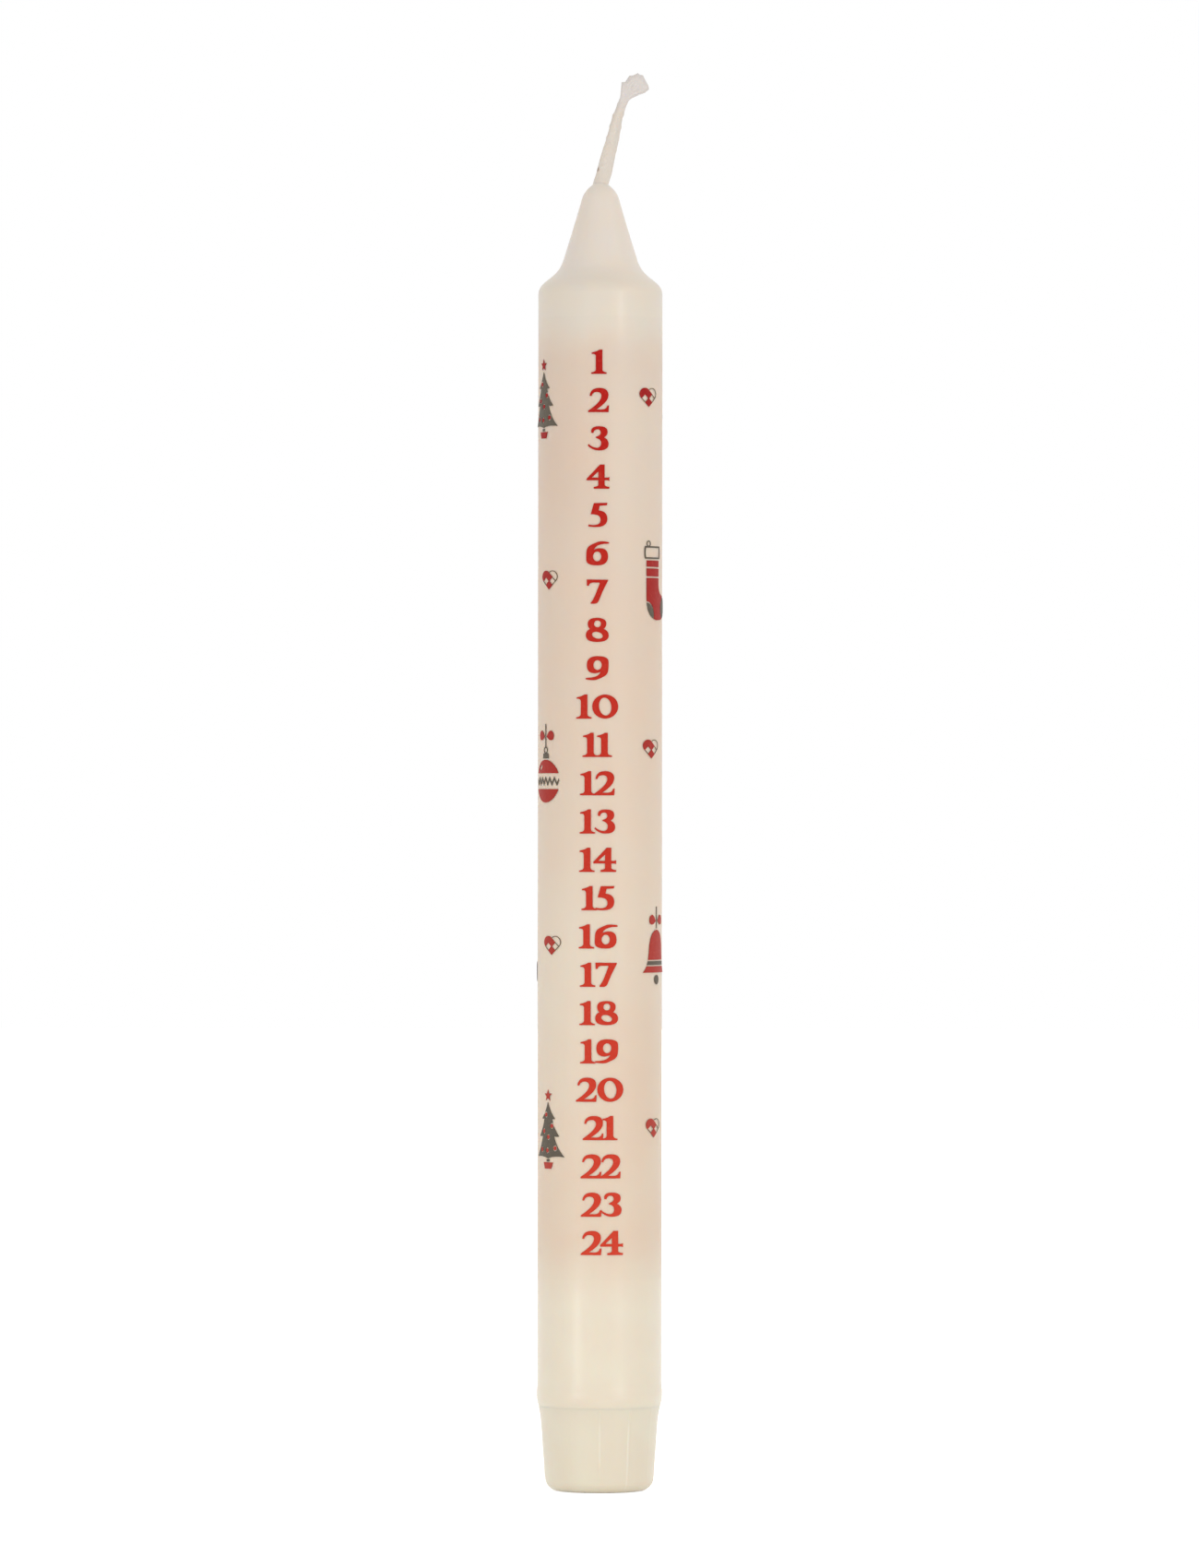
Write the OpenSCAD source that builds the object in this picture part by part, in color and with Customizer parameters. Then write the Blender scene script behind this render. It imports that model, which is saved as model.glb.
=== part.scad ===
// Calendar candle: a dipped taper candle with a tapered foot, a braided wick and a printed sleeve that
// counts down the days, with woven hearts and hanging winter ornaments round its sides.
// Millimetres. +Z is up, the origin is the middle of the foot's underside, and the numbers face -Y.

/* [Wax] */
// Diameter of the finished candle
body_d = 22; // [18:0.5:30]
// Thickness of the outer dipped layer over the pressed core
coat_t = 0.9; // [0.4:0.1:2]
// Height of the bare tapered foot
foot_len = 15; // [8:0.2:25]
// How far inside the body's surface the foot's rim is, right under the bead
foot_inset = 0.2; // [0.1:0.05:0.35]
// How much narrower than its top the foot is just above its rounded lower edge
foot_taper = 1.8; // [0.5:0.1:4]
// How much the foot flares out just under the bead, and the height that this takes
foot_flare = 0.3; // [0.1:0.05:0.5]
flare_len = 3.2; // [1:0.2:5]
// Radius of the rounded lower edge of the foot
foot_edge_r = 2.25; // [1:0.25:4]
// Number of ridges that grip the holder
ridge_count = 12; // [6:1:16]
// Radius of one ridge's rounded back
ridge_r = 0.5; // [0.3:0.05:1]
// How far a ridge stands proud of the foot
ridge_proud = 0.1; // [0.05:0.01:0.3]
// Height of the bead where the dipped layer ends
bead_h = 4.6; // [2:0.2:8]
// How far the bead stands proud of the body
bead_proud = 0.13; // [0.12:0.01:0.5]

/* [Shoulder and tip] */
// Height of the rounded shoulder above the straight body
shoulder_len = 5.9; // [4:0.1:10]
// Diameter where the shoulder runs into the cone
cone_low_d = 13.3; // [10:0.1:15]
// Height of the slender cone
cone_len = 10.7; // [6:0.1:20]
// Diameter at the top of the cone
cone_top_d = 6.8; // [6:0.1:9]
// Height of the rounded tip that closes on the wick
tip_len = 2.8; // [1.5:0.1:5]

/* [Wick] */
// Width of the flat braid, and diameter of the part that the wax holds
wick_w = 2.9; // [2:0.1:3.6]
// Thickness of the flat braid where it stands free
wick_t = 1.75; // [1.2:0.05:2.5]
// Turn of the braid from the wax to its frayed end
wick_turn = 90; // [0:5:180]
// Width of the frayed end
tuft_w = 4.9; // [3:0.1:6]
// Thickness of the frayed end
tuft_t = 3; // [2:0.1:4]

/* [Printed sleeve] */
// Number of days counted
days = 24; // [12:1:24]
// Distance from one number to the next
day_pitch = 6.73; // [5:0.01:8]
// Height of the numbers
numeral_h = 4.26; // [3:0.02:4.8]
// Sideways place of the numbers at the day where their column bows furthest
column_x = -0.5; // [-1:0.05:1]
// Bare wax between the foot and the sleeve
shank_len = 22.6; // [15:0.1:40]
// Bare wax between the sleeve and the shoulder
collar_len = 4.3; // [2:0.1:15]
// Clear sleeve above the first number
margin_top = 5.9; // [3:0.1:12]
// Clear sleeve below the last number
margin_low = 4.5; // [3:0.1:12]
// Thickness of the clear sleeve
film_t = 0.05; // [0.03:0.01:0.15]
// Thickness of the printed colour
ink_t = 0.04; // [0.02:0.01:0.06]

/* [Ornaments] */
// Width of a woven heart across its weave
heart_w = 3.8; // [2.5:0.1:5]
// Height of a woven heart's weave
heart_h = 3.04; // [2:0.1:4]
// Height of a hanging ornament
motif_h = 14; // [9:0.5:16]
// Angle of the hearts from the numbers
heart_angle = 53.6; // [45:0.2:56]
// Angle of the hanging ornaments from the numbers
motif_angle = 61; // [58:0.5:78]
// Angle of the ornaments behind them
back_angle = 120; // [118:1:124]

/* [Clearances] */
// Between the core and the dipped layer
bond_gap = 0.02; // [0.01:0.01:0.05]
// Between the wick and its hole
wick_gap = 0.05; // [0.02:0.01:0.1]
// Between the wax, the sleeve and the colour printed on it
film_gap = 0.01; // [0.005:0.005:0.02]

/* [Hidden] */
// Fineness of round shapes, of the foot's ridges, and of the thin sleeve and what is printed on it
round_fn = 128;
ridge_fn = 32;
print_fn = 256;
// Steps along each curve of an outline in the wax, in a printed shape, and in a woven heart's lobe
wax_steps = 12;
ink_steps = 5;
lobe_steps = 14;
// Extra length that makes a cut run right through
cut = 1;
// Marks a point that bends an outline towards it and doesn't lie on it
bend = 1;

// Radii
body_r = body_d / 2;
core_r = body_r - coat_t;
foot_rim_r = body_r - foot_inset;
foot_top_r = foot_rim_r - foot_flare;
foot_low_r = foot_top_r - foot_taper / 2;
wick_r = wick_w / 2;
hole_r = wick_r + wick_gap;
film_in_r = body_r + film_gap;
film_out_r = film_in_r + film_t;
ink_in_r = film_out_r + film_gap;
ink_out_r = ink_in_r + ink_t;

// Heights of the candle's stages
sleeve_z = foot_len + shank_len;
last_day_z = sleeve_z + margin_low + numeral_h / 2;
sleeve_top_z = last_day_z + (days - 1) * day_pitch + numeral_h / 2 + margin_top;
body_top_z = sleeve_top_z + collar_len;
cone_z = body_top_z + shoulder_len;
cone_top_z = cone_z + cone_len;
tip_z = cone_top_z + tip_len;

// The braid's course above the wax: its sideways lean and its height there, read at round steps
wick_lean = [[0, 0], [0.6, 2], [1.05, 4], [1.55, 6], [2.1, 8], [2.55, 10], [3, 12], [3.7, 14], [4.15, 15.3]];
// The frayed end's course: lean, height, and its share of the full width and thickness
tuft_course = [
    [5.3, 16.3, 0.77, 0.8], [6, 17.2, 1, 1], [5.9, 18.2, 0.94, 0.95], [6.3, 19.2, 0.62, 0.7],
    [6.6, 20, 0.2, 0.25]
];
// How full the braid is at the wax, where it isn't pressed flat yet, and the height that this takes
root_fullness = 0.9;
root_len = 3;
// How deep the free braid is rooted in its buried part, and how much slimmer it is there
wick_root = 1;
root_slim = 0.04;
wick_sides = 12;

// How the column of numbers bows: the day where it turns, and the drift for each day squared
bow_day = 9;
bow_drift = 0.004;
// How the ornaments wander round the candle from day to day, and the day where they are true
print_skew = 0.46;
skew_day = 8.7;
// The first tier of ornaments and the steps between tiers, in days, and the number of tiers
first_tier = 1.93;
tier_step = 4.78;
tiers = floor((days - first_tier) / tier_step) + 1;
// The kinds of hanging ornament
FIR = 0;
STOCKING = 1;
BAUBLE = 2;
BELL = 3;
motif_kinds = 4;
// How many tiers a kind at the back is ahead of the same kind at the front
back_lead = 2;
// Angle of the back from the numbers
back_of_candle = 180;

function day_name(day) = str("numeral_", day < 10 ? "0" : "", day);

// Height of a day's number, also for places between two days
function day_z(day) = last_day_z + (days - day) * day_pitch;

// Points of an outline whose corners are [x, y] and whose bends are [x, y, bend]
function bends(p) = len(p) > 2;
function flat(p) = [p.x, p.y];
function quad(a, b, c, t) = (1 - t) * (1 - t) * a + 2 * t * (1 - t) * b + t * t * c;
function outline(points, steps = ink_steps) = [
    for (i = [0:len(points) - 1])
        let(
            here = points[i],
            back = points[(i + len(points) - 1) % len(points)],
            next = points[(i + 1) % len(points)],
            from = bends(back) ? (flat(back) + flat(here)) / 2 : flat(back),
            to = bends(next) ? (flat(here) + flat(next)) / 2 : flat(next)
        )
        each bends(here)
            ? [for (k = [bends(back) ? 0 : 1:steps - 1]) quad(from, flat(here), to, k / steps)]
            : [flat(here)]
];

// An upright or tilted oval
function oval(x, y, rx, ry, tilt = 0) = [
    for (k = [0:6 * ink_steps - 1])
        let(a = k * 60 / ink_steps)
        [x + rx * cos(a) * cos(tilt) - ry * sin(a) * sin(tilt),
         y + rx * cos(a) * sin(tilt) + ry * sin(a) * cos(tilt)]
];

// Curve between two places on the candle's profile, bent towards two others
function cubic(a, b, c, d, t) =
    pow(1 - t, 3) * a + 3 * t * pow(1 - t, 2) * b + 3 * t * t * (1 - t) * c + pow(t, 3) * d;

// The profile above the straight body, a given depth under the finished surface
shoulder_full = 0.43;
shoulder_hollow = 1.1;
cone_hollow = 0.1;
function shoulder(depth) = [
    for (k = [0:wax_steps])
        cubic(
            [body_r - depth, body_top_z],
            [body_r - depth, body_top_z + shoulder_full * shoulder_len],
            [cone_low_d / 2 + shoulder_hollow - depth, body_top_z + shoulder_full * shoulder_len],
            [cone_low_d / 2 - depth, cone_z],
            k / wax_steps
        )
];
function cone_side(depth) = [
    for (k = [1:wax_steps])
        quad(
            [cone_low_d / 2 - depth, cone_z],
            [(cone_low_d + cone_top_d) / 4 - cone_hollow - depth, (cone_z + cone_top_z) / 2],
            [cone_top_d / 2 - depth, cone_top_z],
            k / wax_steps
        )
];
tip_full = 0.6;
tip_close = 0.2;
function tip() =
    let(
        low_r = cone_top_d / 2,
        bend_r = low_r - tip_close * (low_r - hole_r)
    )
    [
        for (k = [1:wax_steps])
            quad(
                [low_r, cone_top_z],
                [bend_r, cone_top_z + tip_full * tip_len],
                [hole_r, tip_z],
                k / wax_steps
            )
    ];

// The dipped layer's bead, from the foot up to the straight body
bead_lift = 0.2;
bead_full = 0.44;
function bead() = concat(
    [for (k = [0:wax_steps - 1])
        quad(
            [foot_rim_r, foot_len],
            [body_r + bead_proud, foot_len + bead_lift * bead_h],
            [body_r + bead_proud, foot_len + bead_full * bead_h],
            k / wax_steps
        )],
    [for (k = [0:wax_steps])
        cubic(
            [body_r + bead_proud, foot_len + bead_full * bead_h],
            [body_r + bead_proud, foot_len + (1 + bead_full) / 2 * bead_h],
            [body_r, foot_len + (1 + bead_full) / 2 * bead_h],
            [body_r, foot_len + bead_h],
            k / wax_steps
        )]
);

// The foot's flat underside and its rounded lower edge
foot_flat_r = foot_low_r - foot_edge_r;
function foot_edge() = [
    for (k = [0:wax_steps])
        let(a = 90 * k / wax_steps)
        [foot_flat_r + foot_edge_r * sin(a), foot_edge_r * (1 - cos(a))]
];

// The foot's tapered side, which flares out under the bead
foot_slope = (foot_top_r - foot_low_r) / (foot_len - foot_edge_r);
function foot_side() = [
    for (k = [0:wax_steps])
        let(z = foot_len - flare_len * (1 - k / wax_steps))
        [foot_low_r + foot_slope * (z - foot_edge_r) + foot_flare * pow(k / wax_steps, 2), z]
];

// The pressed core and its bare foot, with the hole that the wick runs through
module wax_core() {
    lean = atan(foot_slope);
    ridge_len = (foot_len - foot_edge_r - 2 * ridge_r) / cos(lean);
    color([0.88, 0.82, 0.73])
        difference() {
            union() {
                rotate_extrude($fn = round_fn)
                    polygon(concat(
                        [[0, 0]],
                        foot_edge(),
                        foot_side(),
                        [[core_r, foot_len]],
                        shoulder(coat_t),
                        cone_side(coat_t),
                        [[0, cone_top_z]]
                    ));
                for (k = [0:ridge_count - 1])
                    rotate([0, 0, k * 360 / ridge_count - 90])
                        translate([foot_low_r - ridge_r + ridge_proud, 0, foot_edge_r])
                            rotate([0, lean, 0]) {
                                cylinder(r = ridge_r, h = ridge_len, $fn = ridge_fn);
                                sphere(r = ridge_r, $fn = ridge_fn);
                                translate([0, 0, ridge_len])
                                    sphere(r = ridge_r, $fn = ridge_fn);
                            }
            }
            translate([0, 0, -cut])
                cylinder(r = hole_r, h = tip_z + 2 * cut, $fn = round_fn);
        }
}

// The outer layer of ivory wax, from its bead to the tip
module dip_coat() {
    inner = concat(
        [[core_r + bond_gap, foot_len]],
        shoulder(coat_t - bond_gap),
        cone_side(coat_t - bond_gap),
        [[cone_top_d / 2 - coat_t + bond_gap, cone_top_z + bond_gap], [hole_r, cone_top_z + bond_gap]]
    );
    outer = concat(bead(), shoulder(0), cone_side(0), tip());
    color([0.9, 0.84, 0.75])
        rotate_extrude($fn = round_fn)
            polygon(concat(outer, [for (i = [len(inner) - 1:-1:0]) inner[i]]));
}

// One section of the free wick: an ellipse at a height, leaning and turned
function wick_ring(x, z, half_w, half_t, turn) = [
    for (k = [0:wick_sides - 1])
        let(
            a = 360 * k / wick_sides,
            u = half_w * cos(a),
            v = half_t * sin(a)
        )
        [x + u * cos(turn) - v * sin(turn), u * sin(turn) + v * cos(turn), tip_z + z]
];

// The braided wick: a round part held in the wax, a flat part that turns as it leans, and a frayed end
module wick() {
    free_len = wick_lean[len(wick_lean) - 1][1];
    slim = wick_r - root_slim;
    braid = [
        for (p = wick_lean)
            let(
                full = max(0, 1 - p[1] / root_len),
                half_t = wick_t / 2 + (wick_r * root_fullness - wick_t / 2) * full
            )
            wick_ring(p[0], p[1], wick_r, half_t, wick_turn * p[1] / free_len)
    ];
    tuft = [for (p = tuft_course) wick_ring(p[0], p[1], tuft_w / 2 * p[2], tuft_t / 2 * p[3], 0)];
    rings = concat([wick_ring(0, -wick_root, slim, slim, 0)], braid, tuft_turned(tuft));
    last = len(rings) - 1;
    color([0.87, 0.83, 0.78]) {
        cylinder(r = wick_r, h = tip_z, $fn = round_fn);
        polyhedron(
            points = [for (ring = rings) each ring],
            faces = concat(
                [[for (k = [0:wick_sides - 1]) k]],
                [for (i = [0:last - 1], k = [0:wick_sides - 1])
                    let(
                        a = i * wick_sides + k,
                        b = i * wick_sides + (k + 1) % wick_sides
                    )
                    each [[a, a + wick_sides, b + wick_sides], [a, b + wick_sides, b]]],
                [[for (k = [wick_sides - 1:-1:0]) last * wick_sides + k]]
            )
        );
    }
}

// The frayed end's rings, numbered on from where the turned braid's corners have come to
function tuft_turned(rings) =
    let(shift = round(wick_turn * wick_sides / 360))
    [for (ring = rings) [for (k = [0:wick_sides - 1]) ring[(k + shift) % wick_sides]]];

// The clear sleeve that carries the print
module print_sleeve() {
    color([0.93, 0.91, 0.86, 0.35])
        translate([0, 0, sleeve_z])
            difference() {
                cylinder(r = film_out_r, h = sleeve_top_z - sleeve_z, $fn = print_fn);
                translate([0, 0, -cut])
                    cylinder(r = film_in_r, h = sleeve_top_z - sleeve_z + 2 * cut, $fn = print_fn);
            }
}

// Lays a flat drawing on the sleeve, its middle at an angle from the numbers and at a height
module printed(angle, z, tall) {
    intersection() {
        translate([0, 0, z])
            rotate([90, 0, angle])
                linear_extrude(height = ink_out_r + cut)
                    children();
        translate([0, 0, z - tall / 2])
            difference() {
                cylinder(r = ink_out_r, h = tall, $fn = print_fn);
                translate([0, 0, -cut])
                    cylinder(r = ink_in_r, h = tall + 2 * cut, $fn = print_fn);
            }
    }
}

// The digits, drawn in hundredths of their height from their lower left corner
digit_1 = [
    [0, 0], [64, 0], [64, 6], [48, 7, bend], [46.5, 18], [46.5, 100], [34, 100], [24, 92, bend], [2, 88],
    [2, 82], [18, 84, bend], [19, 72], [19, 18], [17, 7, bend], [0, 6]
];
digit_2 = [
    [0, 0], [84, 0], [86, 28], [79, 27], [76, 11, bend], [56, 11], [34, 11], [84, 42, bend], [84, 70],
    [84, 100, bend], [46, 100], [10, 100, bend], [6, 68], [14, 66], [18, 83, bend], [36, 83],
    [55, 83, bend], [55, 66], [54, 42, bend], [0, 6]
];
digit_3 = [
    [14, 73], [9, 100, bend], [46, 100], [82, 100, bend], [82, 77], [82, 61, bend], [67, 54],
    [86, 45, bend], [86, 27], [86, 0, bend], [46, 0], [20, 0, bend], [0, 20], [3, 27], [18, 12, bend],
    [38, 11], [55, 12, bend], [55, 31], [55, 46, bend], [33, 52], [33, 56], [53, 61, bend], [53, 73],
    [53, 87, bend], [40, 87], [26, 87, bend], [23, 72]
];
digit_4 = [
    [56, 100], [75, 100], [75, 46], [88, 46], [95, 49], [95, 32], [88, 35], [75, 35], [75, 17],
    [76, 9, bend], [95, 8], [95, 0], [30, 0], [30, 8], [48, 9, bend], [49, 17], [49, 35], [1, 35], [0, 41]
];
digit_5 = [
    [24, 99], [80, 100], [78, 90], [48, 88], [44, 69], [80, 66, bend], [80, 34], [80, 0, bend], [34, 0],
    [16, 0, bend], [1, 3], [3, 11], [20, 7, bend], [32, 9], [52, 12, bend], [52, 30], [52, 54, bend],
    [11, 53]
];
digit_6 = [
    [95, 96], [62, 102, bend], [35, 92, bend], [4, 76, bend], [0, 40, bend], [2, 0, bend], [48, 0],
    [91, 0, bend], [91, 37], [91, 71, bend], [58, 71], [43, 71, bend], [33, 64], [40, 90, bend], [95, 90]
];
digit_7 = [
    [0, 100], [89, 99], [88, 94], [66, 50], [52, 16], [46, 0, bend], [34, 0], [19, 0], [16, 3],
    [28, 16, bend], [38, 42], [54, 83], [52, 87], [26, 87], [12, 87, bend], [9, 74], [1, 74]
];
digit_8 = [
    [46, 100], [85, 100, bend], [85, 76], [85, 62, bend], [74, 54], [95, 46, bend], [95, 27],
    [95, 0, bend], [47, 0], [0, 0, bend], [0, 27], [0, 46, bend], [17, 54], [8, 62, bend], [8, 76],
    [8, 100, bend]
];
six_eye = oval(46, 37, 17, 20);
function upside_down(points) = [for (p = points) [95 - p.x, 100 - p.y, if (bends(p)) bend]];
digit_shapes = [
    oval(54, 50, 54, 50), digit_1, digit_2, digit_3, digit_4, digit_5, digit_6, digit_7, digit_8,
    upside_down(digit_6)
];
digit_eyes = [
    [oval(54, 50, 25.5, 37, 8)], [], [], [], [[[49, 46], [49, 71], [22, 46]]], [], [six_eye], [],
    [oval(48.5, 75, 14.2, 14), oval(48, 28, 22.5, 13.5, -15)], [upside_down(six_eye)]
];
digit_w = [108, 64, 86, 86, 95, 80, 95, 89, 95, 95];
// How far each digit tucks under the one before it
digit_tuck = [-2, 6, 6, 3, 6, 8, -2, 0, -1, 1];

module digit(d) {
    unit = numeral_h / 100;
    difference() {
        polygon(unit * outline(digit_shapes[d]));
        for (eye = digit_eyes[d])
            polygon(unit * outline(eye));
    }
}

// A day's number, drawn round its own middle
module numeral_drawing(day) {
    unit = numeral_h / 100;
    tens = floor(day / 10);
    ones = day % 10;
    ones_x = tens > 0 ? digit_w[tens] - digit_tuck[ones] : 0;
    translate([-(ones_x + digit_w[ones]) / 2 * unit, -numeral_h / 2]) {
        if (tens > 0)
            digit(tens);
        translate([ones_x * unit, 0])
            digit(ones);
    }
}

module numeral(day) {
    x = column_x + bow_drift * pow(day - bow_day, 2);
    color([0.75, 0.1, 0.09])
        printed(0, day_z(day), numeral_h + cut)
            translate([x, 0])
                numeral_drawing(day);
}

// Place in a woven heart: u runs from its lower tip to its right corner, and v to its left corner
function woven(u, v) = [(u - v) * heart_w / 2, (u + v - 1) * heart_h / 2];
// Width of a heart's drawn lines, of the bare gaps beside them, and by how much its red squares are too
// full, as shares of its square
weave_line = 0.055;
weave_gap = 0.02;
weave_full = 0.03;
red_from = 0.5 - weave_full;
red_to = 0.5 + weave_full;
lobe_from = 1 - weave_full;
// Angles that the line round the right lobe runs between
lobe_start = 6;
lobe_end = 188;

function lobe_arc(r, from, to) = [
    for (k = [0:lobe_steps])
        let(a = from + (to - from) * k / lobe_steps)
        [0.5 + r * cos(a), 1 + r * sin(a)]
];

module weave_shape(points) {
    polygon([for (p = points) woven(p[0], p[1])]);
}

module weave_bar(u_from, u_to, v_from, v_to) {
    weave_shape([[u_from, v_from], [u_to, v_from], [u_to, v_to], [u_from, v_to]]);
}

// The left lobe with the strip that it weaves over the top of the square, and the square's lower tip
module heart_red_drawing() {
    weave_shape(concat(
        lobe_arc(0.5, 0, 180),
        [[0, lobe_from], [red_from, lobe_from], [red_from, red_from], [1, red_from]]
    ));
    weave_bar(0, red_to, 0, red_to);
}

// The thin line round the right lobe, and round the two strips that it weaves
module heart_outline_drawing() {
    ring = concat(lobe_arc(0.5, lobe_start, lobe_end), lobe_arc(0.5 - weave_line, lobe_end, lobe_start));
    weave_shape([for (p = ring) [p[1], p[0]]]);
    weave_bar(red_to + weave_gap, 1, 0, weave_line);
    weave_bar(1 - weave_line, 1, 0, red_from - weave_gap);
    weave_bar(0, weave_line, red_to + weave_gap, lobe_from - weave_gap);
}

// Where a tier of ornaments is: its day, its side, and how far the print has wandered there
function tier_day(tier) = first_tier + tier * tier_step;
function tier_side(tier) = tier % 2 == 0 ? 1 : -1;
function wander(tier) = print_skew * (tier_day(tier) - skew_day);

// The tier whose heart beside the numbers is printed early, and by how many days
early_tier = 2;
early_days = 0.36;
function heart_day(tier) = tier_day(tier) - (tier == early_tier ? early_days : 0);

// Puts a drawing on each tier's two hearts, one beside the numbers and one at the back
module on_hearts() {
    tall = 2 * heart_h;
    for (tier = [0:tiers - 1]) {
        printed(tier_side(tier) * heart_angle + wander(tier), day_z(heart_day(tier)), tall)
            children();
        printed(back_of_candle + wander(tier), day_z(tier_day(tier)), tall)
            children();
    }
}

// Puts a drawing on each tier whose hanging ornament is of this kind, beside the numbers or behind
module on_motifs(kind) {
    tall = motif_h + cut;
    for (tier = [0:tiers - 1]) {
        if (tier % motif_kinds == kind)
            printed(-tier_side(tier) * motif_angle + wander(tier), day_z(tier_day(tier)), tall)
                children();
        if ((tier + back_lead) % motif_kinds == kind)
            printed(tier_side(tier) * back_angle + wander(tier), day_z(tier_day(tier)), tall)
                children();
    }
}

// A shape of a hanging ornament, drawn in hundredths of its height from its middle
module inked(points) {
    polygon(motif_h / 100 * outline(points));
}
motif_top = 50;
thread_w = 1.8;

function box(x_from, x_to, y_from, y_to) = [[x_from, y_from], [x_to, y_from], [x_to, y_to], [x_from, y_to]];
function disc(x, y, r) = oval(x, y, r, r);

// A ring drawn as a line of a given width
module loop(x, y, r, line) {
    difference() {
        inked(disc(x, y, r));
        inked(disc(x, y, r - line));
    }
}

// The thread that a hanging ornament hangs by
module thread(from_y) {
    inked(box(-thread_w / 2, thread_w / 2, from_y, motif_top));
}

// Two loops of a bow, without their knot
module bow(y) {
    for (side = [-1, 1])
        inked([
            [2.5 * side, y], [8 * side, y + 9, bend], [17 * side, y + 6, bend], [17 * side, y - 4, bend],
            [8 * side, y - 5, bend]
        ]);
}

// Fir tree: three tiers of branches with hung dots, a pot and a star
fir_dots = [[-4, 18], [8, 4], [-9, -3], [1, -10], [14, -24], [-14, -26], [-1, -27]];
dot_r = 2.6;
dot_hole_r = 3.8;
fir_branches = [
    [-29, -35], [-12, -33, bend], [0, -37], [12, -33, bend], [29, -35], [17, -24, bend], [12, -9],
    [17, -10, bend], [21, -9], [12, 0, bend], [8, 13], [11, 12, bend], [14, 13], [5, 20, bend], [0, 34],
    [-5, 20, bend], [-14, 13], [-11, 12, bend], [-8, 13], [-12, 0, bend], [-21, -9],
    [-17, -10, bend], [-12, -9], [-17, -24, bend]
];
fir_trunk = box(-3, 3, -41, -38);
fir_pot = [[-10, -42], [-7, -50], [7, -50], [10, -42]];
star_y = 42;
star_r = 8;
star_hollow_r = 3.4;
star_points = 5;

module fir_grey_drawing() {
    difference() {
        inked(fir_branches);
        for (dot = fir_dots)
            inked(disc(dot.x, dot.y, dot_hole_r));
    }
    inked(fir_trunk);
}

module fir_red_drawing() {
    for (dot = fir_dots)
        inked(disc(dot.x, dot.y, dot_r));
    inked([
        for (k = [0:2 * star_points - 1])
            let(
                r = k % 2 == 0 ? star_r : star_hollow_r,
                a = 180 * k / star_points
            )
            [r * sin(a), star_y + r * cos(a)]
    ]);
    inked(fir_pot);
}

// Stocking: a knitted leg with a darned heel and toe, a rolled cuff and a loop
stocking_leg = [
    [-17, 26], [-17, -16], [-19, -47, bend], [4, -49], [34, -50, bend], [35, -33], [35, -19, bend],
    [20, -17], [10, -14, bend], [11, 0], [11, 26]
];
toe_at = [33, -34];
heel_at = [-18, -42];
patch_r = 15;
patch_gap = 1.6;
knit_rows = [16, 4];
knit_w = 40;
knit_line = 2;
cuff = [[-20, 28], [-22, 36, bend], [-20, 44], [14, 44], [16, 36, bend], [14, 28]];
cuff_inside = [[-18, 30], [-20, 36, bend], [-18, 42], [12, 42], [14, 36, bend], [12, 30]];
cuff_loop_at = [-13, 47];
cuff_loop_r = 4;
cuff_loop_line = 1.4;

module stocking_red_drawing() {
    difference() {
        inked(stocking_leg);
        inked(disc(toe_at.x, toe_at.y, patch_r + patch_gap));
        inked(disc(heel_at.x, heel_at.y, patch_r + patch_gap));
        for (row = knit_rows)
            inked(box(-knit_w / 2, knit_w / 2, row, row + knit_line));
    }
}

module stocking_grey_drawing() {
    intersection() {
        inked(stocking_leg);
        union() {
            inked(disc(toe_at.x, toe_at.y, patch_r));
            inked(disc(heel_at.x, heel_at.y, patch_r));
        }
    }
    difference() {
        inked(cuff);
        inked(cuff_inside);
    }
    loop(cuff_loop_at.x, cuff_loop_at.y, cuff_loop_r, cuff_loop_line);
}

// Bauble: a striped ball on a thread, with a bow
ball_y = -22;
ball_r = 27;
stripe_h = 20;
zigzag_n = 6;
zigzag_pitch = 9;
zigzag_swing = 4;
zigzag_line = 4;
zigzag_margin = 1;
shine = oval(-13, ball_y + 17, 5, 2.2, 35);
bauble_cap = [
    [-7, ball_y + ball_r + 1.5], [7, ball_y + ball_r + 1.5], [6, ball_y + ball_r + 8],
    [-6, ball_y + ball_r + 8]
];
ring_y = 17;
ring_r = 4.6;
ring_line = 1.6;
bauble_bow_y = 34;

module bauble_red_drawing() {
    difference() {
        inked(disc(0, ball_y, ball_r));
        inked(box(-ball_r, ball_r, ball_y - stripe_h / 2, ball_y + stripe_h / 2));
        inked(shine);
    }
    bow(bauble_bow_y);
}

// A corner of the zigzag, on its upper edge for side 1 and on its lower edge for side -1
function zigzag(k, side) = [
    k * zigzag_pitch / 2,
    ball_y + (k % 2 == 0 ? zigzag_swing : -zigzag_swing) + side * zigzag_line / 2
];

module bauble_grey_drawing() {
    top = [for (k = [-zigzag_n:zigzag_n]) zigzag(k, 1)];
    low = [for (k = [zigzag_n:-1:-zigzag_n]) zigzag(k, -1)];
    intersection() {
        inked(concat(top, low));
        inked(disc(0, ball_y, ball_r - zigzag_margin));
    }
    inked(bauble_cap);
    loop(0, ring_y, ring_r, ring_line);
    thread(ring_y + ring_r - ring_line / 2);
}

// Bell: a flared bell with a band, its clapper and a bow
bell_body = [
    [-29, -33], [29, -33], [20, -26, bend], [18, -8], [17, 20, bend], [0, 21], [-17, 20, bend],
    [-18, -8], [-20, -26, bend]
];
bell_w = 60;
bell_top = 21;
thread_gap = 1.5;
band_y = -21;
band_h = 4.8;
band_gap = 1.6;
clapper = disc(0, -42, 6);
bell_bow_y = 32;

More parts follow.
